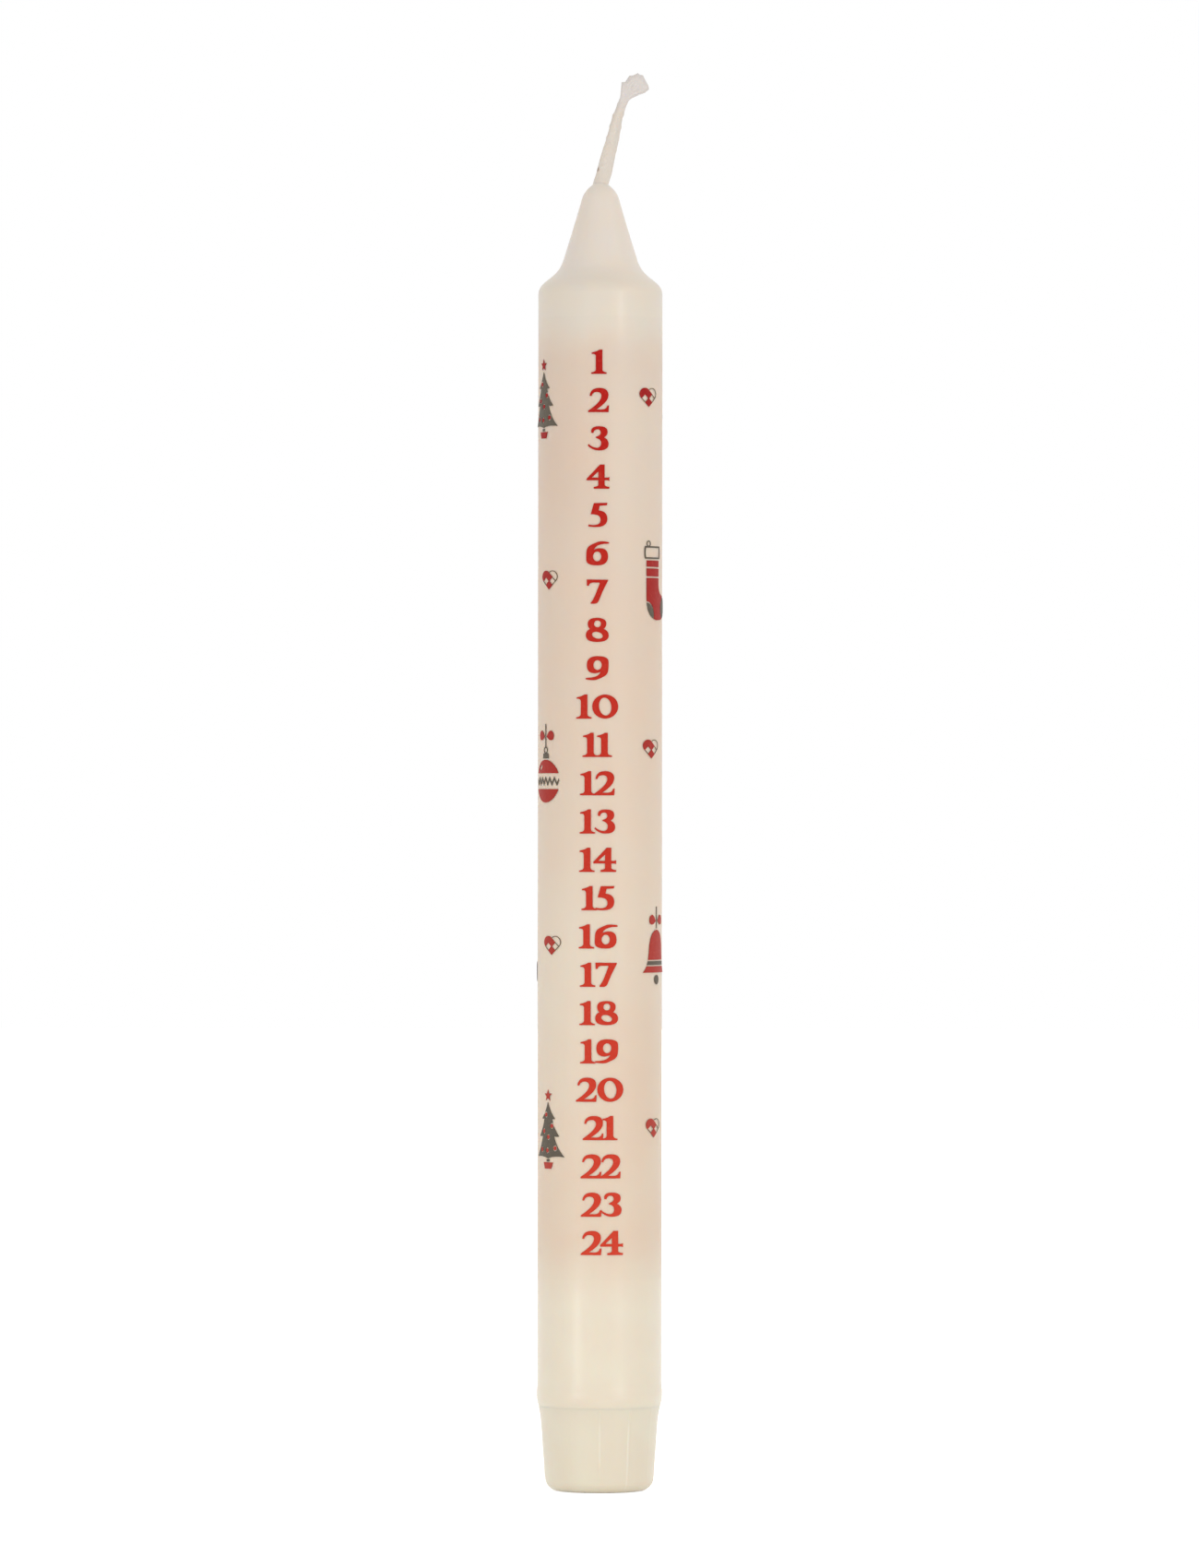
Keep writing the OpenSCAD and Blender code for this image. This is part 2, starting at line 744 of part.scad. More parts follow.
// A band across the bell
module bell_band(h) {
    inked(box(-bell_w / 2, bell_w / 2, band_y - h / 2, band_y + h / 2));
}

module bell_red_drawing() {
    difference() {
        inked(bell_body);
        bell_band(band_h + 2 * band_gap);
    }
    bow(bell_bow_y);
}

module bell_grey_drawing() {
    intersection() {
        bell_band(band_h);
        inked(bell_body);
    }
    inked(clapper);
    thread(bell_top + thread_gap);
}

module woven_hearts_red() {
    color([0.68, 0.1, 0.11])
        on_hearts()
            heart_red_drawing();
}

module woven_hearts_outline() {
    color([0.42, 0.37, 0.3])
        on_hearts()
            heart_outline_drawing();
}

module fir_trees_grey() {
    color([0.38, 0.35, 0.3])
        on_motifs(FIR)
            fir_grey_drawing();
}

module fir_trees_red() {
    color([0.68, 0.1, 0.11])
        on_motifs(FIR)
            fir_red_drawing();
}

module stockings_red() {
    color([0.68, 0.1, 0.11])
        on_motifs(STOCKING)
            stocking_red_drawing();
}

module stockings_grey() {
    color([0.38, 0.35, 0.3])
        on_motifs(STOCKING)
            stocking_grey_drawing();
}

module baubles_red() {
    color([0.68, 0.1, 0.11])
        on_motifs(BAUBLE)
            bauble_red_drawing();
}

module baubles_grey() {
    color([0.38, 0.35, 0.3])
        on_motifs(BAUBLE)
            bauble_grey_drawing();
}

module bells_red() {
    color([0.68, 0.1, 0.11])
        on_motifs(BELL)
            bell_red_drawing();
}

module bells_grey() {
    color([0.38, 0.35, 0.3])
        on_motifs(BELL)
            bell_grey_drawing();
}

wax_core();
dip_coat();
wick();
print_sleeve();
for (day = [1:days]) numeral(day);
woven_hearts_red();
woven_hearts_outline();
fir_trees_grey();
fir_trees_red();
stockings_red();
stockings_grey();
baubles_red();
baubles_grey();
bells_red();
bells_grey();
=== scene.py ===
"""Calendar candle: wax, sleeve, print and braided wick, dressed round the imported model."""
import math
import random

import bpy
import numpy as np
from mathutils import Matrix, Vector


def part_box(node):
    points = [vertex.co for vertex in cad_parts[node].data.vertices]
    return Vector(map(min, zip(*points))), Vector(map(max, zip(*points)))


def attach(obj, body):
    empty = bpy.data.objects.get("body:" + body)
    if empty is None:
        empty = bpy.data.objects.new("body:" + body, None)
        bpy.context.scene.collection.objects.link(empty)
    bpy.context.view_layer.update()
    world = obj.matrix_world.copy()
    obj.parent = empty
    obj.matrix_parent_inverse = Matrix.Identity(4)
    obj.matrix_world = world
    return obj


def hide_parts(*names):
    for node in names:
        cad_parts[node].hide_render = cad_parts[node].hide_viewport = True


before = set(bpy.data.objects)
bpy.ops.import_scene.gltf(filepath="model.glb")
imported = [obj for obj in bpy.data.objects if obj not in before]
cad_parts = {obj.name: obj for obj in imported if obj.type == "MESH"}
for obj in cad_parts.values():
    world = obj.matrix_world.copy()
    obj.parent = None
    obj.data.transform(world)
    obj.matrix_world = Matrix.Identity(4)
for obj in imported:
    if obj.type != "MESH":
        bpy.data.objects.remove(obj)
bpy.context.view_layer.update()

MM = 0.001
random.seed(24)


# What the frame gives, in millimetres
def box_mm(node):
    low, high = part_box(node)
    return low / MM, high / MM


COAT_LOW, COAT_HIGH = box_mm("dip_coat")
SLEEVE_LOW, SLEEVE_HIGH = box_mm("print_sleeve")
CORE_HIGH = box_mm("wax_core")[1]

FOOT_LEN = COAT_LOW.z
BEAD_R = COAT_HIGH.x
CONE_TOP_Z = CORE_HIGH.z
TIP_Z = COAT_HIGH.z
SLEEVE_Z = SLEEVE_LOW.z
SLEEVE_TOP_Z = SLEEVE_HIGH.z
FILM_OUT_R = SLEEVE_HIGH.x

# Sizes that the frame's boxes don't give, in millimetres. The sleeve and its feathered ends
FILM_T = 0.05
FILM_GAP = 0.01
FILM_EDGE_T = 0.008
FILM_FEATHER = 2.5
# The body, the layer that it is dipped in, and the stages of its outline
BODY_R = FILM_OUT_R - FILM_T - FILM_GAP
COAT_T = 0.9
BOND_GAP = 0.02
CORE_R = BODY_R - COAT_T
BEAD_H = 4.6
COLLAR_LEN = 4.3
SHOULDER_LEN = 5.9
CONE_LOW_R = 6.65
CONE_TOP_R = 3.4
# The foot, and the ridges that grip a holder
FOOT_FLARE = 0.3
FLARE_LEN = 3.2
FOOT_INSET = 0.2
FOOT_NARROWING = 0.9
FOOT_EDGE_R = 2.25
FOOT_RIM_R = BODY_R - FOOT_INSET
FOOT_TOP_R = FOOT_RIM_R - FOOT_FLARE
FOOT_LOW_R = FOOT_TOP_R - FOOT_NARROWING
FLAT_R = FOOT_LOW_R - FOOT_EDGE_R
RIDGES = 12
RIDGE_R = 0.5
RIDGE_PROUD = 0.1
# The place of the ridge that stands tallest and carries the strongest painted highlight, counted from the
# front one to the right
TALLEST_GLINT_RIDGE = 0.6
# The wick and its hole
WICK_R = 1.45
WICK_T = 1.75
HOLE_R = 1.5
# Heights where the body ends and the cone starts
BODY_TOP_Z = SLEEVE_TOP_Z + COLLAR_LEN
CONE_Z = BODY_TOP_Z + SHOULDER_LEN


# Camera
CAMERA_ROLL = math.radians(-0.05)
CAMERA_DISTANCE = 1600 * MM
CAMERA_AIM = Vector((-0.08 * MM, 0, 124.85 * MM))
FRAME_HEIGHT = 277.3 * MM
SENSOR_WIDTH = 36
CLIP_START, CLIP_END = 0.05, 20


def make_camera():
    """A long lens, level with the candle's middle, whose frame is the photograph's."""
    data = bpy.data.cameras.new("camera")
    data.sensor_width = SENSOR_WIDTH
    data.lens = SENSOR_WIDTH * CAMERA_DISTANCE / FRAME_HEIGHT
    data.clip_start = CLIP_START
    data.clip_end = CLIP_END
    camera = bpy.data.objects.new("camera", data)
    camera.location = CAMERA_AIM + Vector((0, -CAMERA_DISTANCE, 0))
    camera.rotation_euler = (math.pi / 2, CAMERA_ROLL, 0)
    bpy.context.scene.collection.objects.link(camera)
    bpy.context.scene.camera = camera


make_camera()


# Node trees
# The range that most of a noise's values lie in
CLOUD_LOW, CLOUD_HIGH = 0.3, 0.7
# Where a soft patch starts to fade and where it is gone, as shares of its reach
PATCH_FULL, PATCH_GONE = 0.2, 1.3


def linear(red, green, blue):
    """A colour given in display levels from 0 to 255, as the shaders want it."""
    levels = [c / 255 for c in (red, green, blue)]
    return (*[c / 12.92 if c <= 0.04045 else ((c + 0.055) / 1.055) ** 2.4 for c in levels], 1.0)


class Look:
    """A material's node tree, with short ways to add nodes and join them."""

    def __init__(self, name):
        self.material = bpy.data.materials.new(name)
        self.material.use_nodes = True
        self.tree = self.material.node_tree
        self.tree.nodes.clear()
        self.output = self.node("ShaderNodeOutputMaterial")
        self.place = None

    def node(self, kind, **settings):
        made = self.tree.nodes.new(kind)
        for name, value in settings.items():
            setattr(made, name, value)
        return made

    def put(self, socket, value):
        if isinstance(value, bpy.types.NodeSocket):
            self.tree.links.new(value, socket)
        else:
            socket.default_value = value

    def millimetres(self):
        """The place on the object, in millimetres."""
        if self.place is None:
            where = self.node("ShaderNodeTexCoord").outputs["Object"]
            scaled = self.node("ShaderNodeVectorMath", operation="SCALE")
            self.put(scaled.inputs[0], where)
            self.put(scaled.inputs["Scale"], 1 / MM)
            self.place = scaled.outputs[0]
        return self.place

    def height(self):
        split = self.node("ShaderNodeSeparateXYZ")
        self.put(split.inputs[0], self.millimetres())
        return split.outputs["Z"]

    def stretched(self, x, y, z):
        """The place with each axis multiplied, which draws a pattern out."""
        made = self.node("ShaderNodeVectorMath", operation="MULTIPLY")
        self.put(made.inputs[0], self.millimetres())
        self.put(made.inputs[1], (x, y, z))
        return made.outputs[0]

    def noise(self, scale, detail=2.0, rough=0.5, place=None):
        made = self.node("ShaderNodeTexNoise")
        self.put(made.inputs["Vector"], place or self.millimetres())
        self.put(made.inputs["Scale"], scale)
        self.put(made.inputs["Detail"], detail)
        self.put(made.inputs["Roughness"], rough)
        return made.outputs["Fac"]

    def patch(self, middle, reach, strength):
        """A soft patch that fades out from its middle, and reaches as far along each axis as is said."""
        off = self.node("ShaderNodeVectorMath", operation="SUBTRACT")
        self.put(off.inputs[0], self.millimetres())
        self.put(off.inputs[1], middle)
        scaled = self.node("ShaderNodeVectorMath", operation="DIVIDE")
        self.put(scaled.inputs[0], off.outputs[0])
        self.put(scaled.inputs[1], reach)
        away = self.node("ShaderNodeVectorMath", operation="LENGTH")
        self.put(away.inputs[0], scaled.outputs[0])
        return self.span(away.outputs["Value"], PATCH_FULL, PATCH_GONE, strength, 0.0, smooth=True)

    def span(self, value, low, high, to_low=0.0, to_high=1.0, smooth=False):
        """Maps a value from one range to another, held at its ends."""
        made = self.node("ShaderNodeMapRange")
        made.interpolation_type = "SMOOTHSTEP" if smooth else "LINEAR"
        self.put(made.inputs["Value"], value)
        for name, number in zip(("From Min", "From Max", "To Min", "To Max"), (low, high, to_low, to_high)):
            self.put(made.inputs[name], number)
        return made.outputs["Result"]

    def clouded(self, scale, low, high):
        """A number that drifts from one value to another in clouds."""
        return self.span(self.noise(scale, detail=3.0), CLOUD_LOW, CLOUD_HIGH, low, high)

    def math(self, operation, first, second=0.0):
        made = self.node("ShaderNodeMath", operation=operation)
        self.put(made.inputs[0], first)
        self.put(made.inputs[1], second)
        return made.outputs[0]

    def mix(self, share, first, second, blend="MIX"):
        made = self.node("ShaderNodeMix", data_type="RGBA", blend_type=blend)
        self.put(made.inputs["Factor"], share)
        self.put(made.inputs[6], first)
        self.put(made.inputs[7], second)
        return made.outputs[2]

    def bump(self, height, distance, strength=1.0, under=None):
        """A bump whose full height is a distance in millimetres."""
        made = self.node("ShaderNodeBump")
        self.put(made.inputs["Strength"], strength)
        self.put(made.inputs["Distance"], distance * MM)
        self.put(made.inputs["Height"], height)
        if under is not None:
            self.put(made.inputs["Normal"], under)
        return made.outputs["Normal"]

    def surface(self, **sockets):
        """The shader itself. A socket's name has _ for each space."""
        made = self.node("ShaderNodeBsdfPrincipled")
        for name, value in sockets.items():
            self.put(made.inputs[name.replace("_", " ")], value)
        self.put(self.output.inputs["Surface"], made.outputs[0])
        return self.material


# Materials
# The wax at its foot, at its shoulder and at its tip, its clouds and its few specks. Its lighter foot and
# darker shoulder are painted light and shade, for light that falls brighter low down
WAX_LOW_PAINTED_LIT = linear(237, 227, 205)
WAX_HIGH_PAINTED_SHADE = linear(224, 214, 200)
WAX_TIP = linear(229, 218, 206)
WAX_CLOUD = linear(233, 217, 196)
CLOUD_SHARE = 0.5
SPECK = linear(120, 96, 72)
SPECK_SCALE = 0.11
SPECK_R = 0.02
SPECK_RARE = 0.6
# The wax's refraction, scattering, roughness and gloss. A reach is how far light goes in, in millimetres
WAX_IOR = 1.44
WAX_SCATTER = 0.35
SCATTER = (1.0, 0.6, 0.35)
COAT_ROUGH = (0.36, 0.4)
COAT_REACH = 0.6
BARE_GLOSS = 0.1
BARE_GLOSS_ROUGH = 0.18
COVERED_ROUGH = 0.1
CORE_ROUGH = (0.38, 0.46)
CORE_REACH = 0.8
# Multipliers of each axis that draw out upright runs and level scrapes in the wax, and the cotton's fibres
RUN_STRETCH = (0.9, 0.9, 0.06)
SCRAPE_STRETCH = (0.5, 0.5, 2.5)
FIBRE_STRETCH = (1.6, 1.6, 0.35)
# The sleeve's tint
LACQUER_TINT = (0.95, 0.838, 0.796, 1.0)
LACQUER_DEPTH = 0.83
# Where the sleeve's tint lies thicker or thinner: how far right, how high, half its height, and by how much
LACQUER_PATCHES = [(8, 185, 26, -0.28), (-8, 182, 14, 0.2), (-8, 86, 26, -0.22), (9, 76, 20, 0.34)]
PATCH_W = 9.0
# How far the tint fades inside and outside the sleeve's lower and upper edge, and wanders there
FADE_LOW = 8.0
FADE_BELOW = 6.0
FADE_TOP = 8.5
FADE_ABOVE = 0.5
FADE_WANDER = 0.8
# The height where the tint lies thinner all round, how far that spreads, and by what share
THIN_Z = 92.0
THIN_SPREAD = 26.0
THIN_SHARE = 0.35
# The foot, and the pale lines painted on its ridges: a painted highlight where the lamps glint on them
FOOT_SHADE = (0.965, 0.975, 0.975, 1.0)
RIDGE_GLINT = linear(246, 240, 226)
GLINT_W = 0.045
GLINT_SHARE = 0.55
GLINT_CORE = 0.2
# Where a line starts and is full above the underside, and starts to end and is gone under the bead
GLINT_START, GLINT_FULL = 0.3, 1.8
GLINT_ENDING, GLINT_GONE = 4.0, 2.0
# A line whose painted highlight is fainter starts higher, by up to this much, between two shares of that
# highlight
GLINT_LATE = 5.0
GLINT_LOW_SHARE, GLINT_HIGH_SHARE = 0.55, 0.8
# The clear sleeve and the ink
FILM_TINT = linear(245, 240, 232)
FILM_ROUGH = (0.42, 0.55)
FILM_IOR = 1.48
FILM_ALPHA = 0.008
INK_ROUGH = (0.4, 0.55)
INK_IOR = 1.22
WORN_SHARE = 0.25
# The cotton: in its hollows and on its fibres, where wax soaks it, where it is dry, and at a small dark spot
# near its root, by the kink
COTTON_SHADE = linear(217, 206, 194)
COTTON_LIGHT = linear(225, 216, 204)
WAXED_COTTON = linear(225, 210, 192)
WAXED_SHARE = 0.6
DRY_COTTON = linear(221, 213, 207)
DRY_BELOW_NECK, DRY_ABOVE_NECK = 4.0, 1.0
KINK_DARK_SPOT = linear(150, 126, 106)
KINK_SHARE = 0.8
KINK_AT = (-0.45, -0.5, TIP_Z + 2.75)
KINK_CORE, KINK_R = 0.1, 0.6
COTTON_ROUGH = (0.5, 0.65)
COTTON_SCATTER = 0.15
COTTON_REACH = 0.3


def sleeve_share(look):
    """1 where the sleeve covers the wax and 0 outside. It thins out towards both ends."""
    wander = look.span(look.noise(scale=0.2), CLOUD_LOW, CLOUD_HIGH, -FADE_WANDER, FADE_WANDER)
    high = look.math("ADD", look.height(), wander)
    above = look.span(high, SLEEVE_Z - FADE_BELOW, SLEEVE_Z + FADE_LOW, smooth=True)
    below = look.span(high, SLEEVE_TOP_Z - FADE_TOP, SLEEVE_TOP_Z + FADE_ABOVE, 1.0, 0.0, smooth=True)
    return look.math("MULTIPLY", above, below)


def lacquer_depth(look):
    """How much of the sleeve's tint shows: it lies thinner over the middle of the lower half."""
    off = look.math("DIVIDE", look.math("SUBTRACT", look.height(), THIN_Z), THIN_SPREAD)
    bell = look.math("EXPONENT", look.math("MULTIPLY", look.math("MULTIPLY", off, off), -1.0))
    thick = look.math("SUBTRACT", LACQUER_DEPTH, look.math("MULTIPLY", bell, THIN_SHARE * LACQUER_DEPTH))
    for right, high, reach, more in LACQUER_PATCHES:
        thick = look.math("ADD", thick, look.patch((right, -BODY_R, high), (PATCH_W, BODY_R, reach), more))
    return look.math("MULTIPLY", thick, sleeve_share(look))


def wax_colour(look):
    """Ivory wax that is a little warmer at its foot and paler at its tip, with clouds and a few specks. Its
    lighter foot and darker shoulder are painted light and shade.
    """
    # Painted light and shade: the wax grows lighter towards its foot and darker at its shoulder, for light
    # that falls brighter low down
    colour = look.mix(look.span(look.height(), 0, TIP_Z), WAX_LOW_PAINTED_LIT, WAX_HIGH_PAINTED_SHADE)
    colour = look.mix(look.span(look.height(), BODY_TOP_Z, CONE_Z, smooth=True), colour, WAX_TIP)
    clouds = look.noise(scale=0.12, detail=3.0)
    colour = look.mix(look.span(clouds, low=0.35, high=0.7, to_high=CLOUD_SHARE), colour, WAX_CLOUD)
    cells = look.node("ShaderNodeTexVoronoi")
    look.put(cells.inputs["Vector"], look.millimetres())
    look.put(cells.inputs["Scale"], SPECK_SCALE)
    near = look.math("LESS_THAN", cells.outputs["Distance"], SPECK_R)
    split = look.node("ShaderNodeSeparateColor")
    look.put(split.inputs[0], cells.outputs["Color"])
    rare = look.math("GREATER_THAN", split.outputs[0], SPECK_RARE)
    return look.mix(look.math("MULTIPLY", near, rare), colour, SPECK)


def wax_surface(look, reach, **sockets):
    """Wax that light goes into, as far as is said in millimetres."""
    return look.surface(
        IOR=WAX_IOR, Subsurface_Weight=WAX_SCATTER, Subsurface_Radius=SCATTER, Subsurface_Scale=reach * MM,
        **sockets,
    )


def coat_look():
    """The dipped layer: faint upright runs, and a thin gloss where no sleeve covers it."""
    look = Look("dipped_wax")
    covered = sleeve_share(look)
    colour = look.mix(lacquer_depth(look), wax_colour(look), LACQUER_TINT, blend="MULTIPLY")
    grain = look.noise(scale=1.1, detail=4.0)
    runs = look.noise(scale=1.0, place=look.stretched(*RUN_STRETCH))
    normal = look.bump(runs, distance=0.02, strength=0.4)
    normal = look.bump(grain, distance=0.006, strength=0.4, under=normal)
    shine = look.clouded(0.4, *COAT_ROUGH)
    rough = look.math("ADD", shine, look.math("MULTIPLY", covered, COVERED_ROUGH))
    gloss = look.span(covered, low=0.0, high=0.5, to_low=BARE_GLOSS, to_high=0.0)
    return wax_surface(
        look, COAT_REACH, Base_Color=colour, Roughness=rough, Normal=normal,
        Coat_Weight=gloss, Coat_Roughness=BARE_GLOSS_ROUGH,
    )


def ridge_glint(look):
    """Painted highlight: how pale the foot's ridges are painted where the lamps glint on them, and 0 between
    them.
    """
    split = look.node("ShaderNodeSeparateXYZ")
    look.put(split.inputs[0], look.millimetres())
    angle = look.math("ARCTAN2", split.outputs["X"], look.math("MULTIPLY", split.outputs["Y"], -1.0))
    number = look.math("MULTIPLY", angle, RIDGES / (2 * math.pi))
    off = look.math("ABSOLUTE", look.math("SUBTRACT", number, look.math("ROUND", number)))
    line = look.span(off, GLINT_CORE * GLINT_W, GLINT_W, GLINT_SHARE, 0.0)
    away = look.math("SUBTRACT", look.math("ROUND", number), TALLEST_GLINT_RIDGE)
    glinting = look.math("MAXIMUM", look.math("COSINE", look.math("MULTIPLY", away, math.pi / 2)), 0.0)
    late = look.span(glinting, GLINT_LOW_SHARE, GLINT_HIGH_SHARE, GLINT_LATE, 0.0)
    low = look.span(look.math("SUBTRACT", split.outputs["Z"], late), GLINT_START, GLINT_FULL)
    high = look.span(split.outputs["Z"], FOOT_LEN - GLINT_ENDING, FOOT_LEN - GLINT_GONE, 1.0, 0.0)
    return look.math("MULTIPLY", look.math("MULTIPLY", line, glinting), look.math("MULTIPLY", low, high))


def core_look():
    """The pressed core: its bare foot is duller, with fine scrapes across it."""
    look = Look("pressed_wax")
    grain = look.noise(scale=1.6, detail=5.0)
    scrapes = look.noise(scale=1.0, place=look.stretched(*SCRAPE_STRETCH))
    normal = look.bump(grain, distance=0.012, strength=0.5)
    normal = look.bump(scrapes, distance=0.012, strength=0.4, under=normal)
    rough = look.clouded(0.6, *CORE_ROUGH)
    colour = look.mix(1.0, wax_colour(look), FOOT_SHADE, blend="MULTIPLY")
    # Painted highlight: pale lines on the foot's ridges where the lamps glint on them
    colour = look.mix(ridge_glint(look), colour, RIDGE_GLINT)
    return wax_surface(look, CORE_REACH, Base_Color=colour, Roughness=rough, Normal=normal)


def film_look():
    """The clear sleeve: nearly unseen, with a satin surface that breaks the wax's gloss."""
    look = Look("clear_film")
    normal = look.bump(look.noise(scale=0.8, detail=3.0), distance=0.02, strength=0.6)
    rough = look.clouded(0.5, *FILM_ROUGH)
    return look.surface(
        Base_Color=FILM_TINT, Roughness=rough, Normal=normal, IOR=FILM_IOR, Alpha=FILM_ALPHA,
    )


def ink_look(name, low, high, worn):
    """Printed ink whose colour drifts from the sleeve's lower end to its upper end, with thin spots."""
    look = Look(name)
    drift = look.span(look.height(), SLEEVE_Z, SLEEVE_TOP_Z)
    colour = look.mix(drift, low, high)
    spots = look.noise(scale=2.2, detail=5.0, rough=0.7)
    thin = look.span(spots, low=0.52, high=0.78, to_high=WORN_SHARE)
    colour = look.mix(thin, colour, worn)
    rough = look.clouded(1.5, *INK_ROUGH)
    normal = look.bump(look.noise(scale=7.0, detail=3.0), distance=0.008, strength=0.5)
    return look.surface(Base_Color=colour, Roughness=rough, Normal=normal, IOR=INK_IOR)


def cotton_look():
    """Bleached cotton stiffened with wax: fibres along the braid, and wax in its hollows."""
    look = Look("waxed_cotton")
    fibres = look.noise(scale=5.0, detail=4.0, rough=0.6, place=look.stretched(*FIBRE_STRETCH))
    colour = look.mix(look.span(fibres, CLOUD_LOW, CLOUD_HIGH), COTTON_SHADE, COTTON_LIGHT)
    blotch = look.noise(scale=0.5, detail=2.0)
    colour = look.mix(look.span(blotch, low=0.45, high=0.7, to_high=WAXED_SHARE), colour, WAXED_COTTON)
    neck_z = TIP_Z + NECK
    dry = look.span(look.height(), neck_z - DRY_BELOW_NECK, neck_z + DRY_ABOVE_NECK, smooth=True)
    colour = look.mix(dry, colour, DRY_COTTON)
    away = look.node("ShaderNodeVectorMath", operation="DISTANCE")
    look.put(away.inputs[0], look.millimetres())
    look.put(away.inputs[1], KINK_AT)
    # A small dark spot on the cotton near its root, by the kink
    dark_spot = look.span(away.outputs["Value"], KINK_CORE, KINK_R, KINK_SHARE, 0.0, smooth=True)
    colour = look.mix(dark_spot, colour, KINK_DARK_SPOT)
    normal = look.bump(fibres, distance=0.025, strength=0.5)
    rough = look.clouded(1.5, *COTTON_ROUGH)
    return look.surface(
        Base_Color=colour, Roughness=rough, Normal=normal, IOR=WAX_IOR,
        Subsurface_Weight=COTTON_SCATTER, Subsurface_Radius=SCATTER, Subsurface_Scale=COTTON_REACH * MM,
    )


# Meshes
def add_piece(name, points, faces, look, slot, *nodes, sharp=40):
    """A mesh in millimetres, made a piece of the object that stands for CAD nodes."""
    mesh = bpy.data.meshes.new(name)
    mesh.from_pydata([tuple(p) for p in np.asarray(points) * MM], [], faces)
    mesh.materials.append(look)
    mesh.shade_smooth()
    mesh.set_sharp_from_angle(angle=math.radians(sharp))
    piece = bpy.data.objects.new(name, mesh)
    bpy.context.scene.collection.objects.link(piece)
    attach(piece, "root")
    if nodes:
        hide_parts(*nodes)
    return piece


def lathe(profile, angles, radius):
    """Points and faces of a closed outline turned round the axis. radius(r, z, a) may change each point."""
    points = []
    for r, z in profile:
        points.extend((*radius(r, z, a), z) for a in angles)
    around, rings = len(angles), len(profile)
    faces = []
    for i in range(rings):
        for k in range(around):
            a, b = i * around + k, i * around + (k + 1) % around
            c, d = (i + 1) % rings * around + (k + 1) % around, (i + 1) % rings * around + k
            faces.append((a, b, c, d))
    return points, faces


def curve(corners, steps, skip=0):
    """Points of a Bezier curve through 3 or 4 corners."""
    order = len(corners) - 1
    weights = [math.comb(order, j) for j in range(order + 1)]
    made = []
    for k in range(skip, steps + 1):
        t = k / steps
        shares = [w * (1 - t) ** (order - j) * t ** j for j, w in enumerate(weights)]
        made.append(tuple(sum(s * c[axis] for s, c in zip(shares, corners)) for axis in (0, 1)))
    return made


def straight(start, end, steps):
    """Points along a line, without its first."""
    return [tuple(s + (e - s) * k / steps for s, e in zip(start, end)) for k in range(1, steps + 1)]


# Points round the candle, and steps along each stretch of its outline
AROUND = 192
ROUND = [2 * math.pi * k / AROUND for k in range(AROUND)]
BEAD_STEPS = 14
BODY_STEPS = 180
SHOULDER_STEPS = 24
CONE_STEPS = 24
TIP_STEPS = 16
SLEEVE_STEPS = 120
FEATHER_STEPS = 6
UNDERSIDE_STEPS = 6
EDGE_STEPS = 14
TAPER_STEPS = 60
# How deep the dipped surface's waves are, and the shares of that in its mean, its swells and its runs
WAVE_DEPTH = 0.045
WAVE_MEAN, SWELL_SHARE, RUN_SHARE = 0.5, 0.12, 0.05
# The radius beyond which a point of the body is on the coat's outside
OUTSIDE_R = 1.02 * CORE_R
# How far from the wick's hole the waves start
HOLE_EDGE = 0.1
# How full or hollow the outline's curves are, and how far the wax creeps up the wick
SHOULDER_FULL = 0.43
SHOULDER_HOLLOW = 1.1
CONE_HOLLOW = 0.1
TIP_FULL = 0.6
TIP_CLOSE = 0.2
CREEP = 0.28
BEAD_LIFT = 0.2
BEAD_FULL = 0.44


def waves(a, z):
    """How far the dipped surface lies inside its true radius: slow swells and faint upright runs."""
    swell = math.sin(2 * a + 0.045 * z + 0.7) + math.sin(3 * a - 0.083 * z + 2.1) + math.sin(0.21 * z + a)
    runs = math.sin(7 * a + 0.6 * math.sin(0.05 * z)) + math.sin(11 * a + 1.3 + 0.4 * math.sin(0.08 * z))
    return WAVE_DEPTH * (WAVE_MEAN + SWELL_SHARE * swell + RUN_SHARE * runs)


def on_circle(r, a):
    return r * math.cos(a), r * math.sin(a)


def waxed(r, z, a):
    """A point of the coat. Its inside wall stays plain up to the shoulder, and so does the hole's rim."""
    outside = r > OUTSIDE_R or z > BODY_TOP_Z
    return on_circle(r - (waves(a, z) if outside and r > HOLE_R + HOLE_EDGE else 0), a)


def shoulder(depth):
    """The shoulder's outline, a depth inside the coat's surface."""
    lift = BODY_TOP_Z + SHOULDER_FULL * SHOULDER_LEN
    return curve([
        (BODY_R - depth, BODY_TOP_Z), (BODY_R - depth, lift),
        (CONE_LOW_R + SHOULDER_HOLLOW - depth, lift), (CONE_LOW_R - depth, CONE_Z)
    ], SHOULDER_STEPS)


def cone(depth):
    """The cone's outline, a depth inside the coat's surface, without its first point."""
    middle = ((CONE_LOW_R + CONE_TOP_R) / 2 - CONE_HOLLOW - depth, (CONE_Z + CONE_TOP_Z) / 2)
    return curve([(CONE_LOW_R - depth, CONE_Z), middle, (CONE_TOP_R - depth, CONE_TOP_Z)], CONE_STEPS, skip=1)


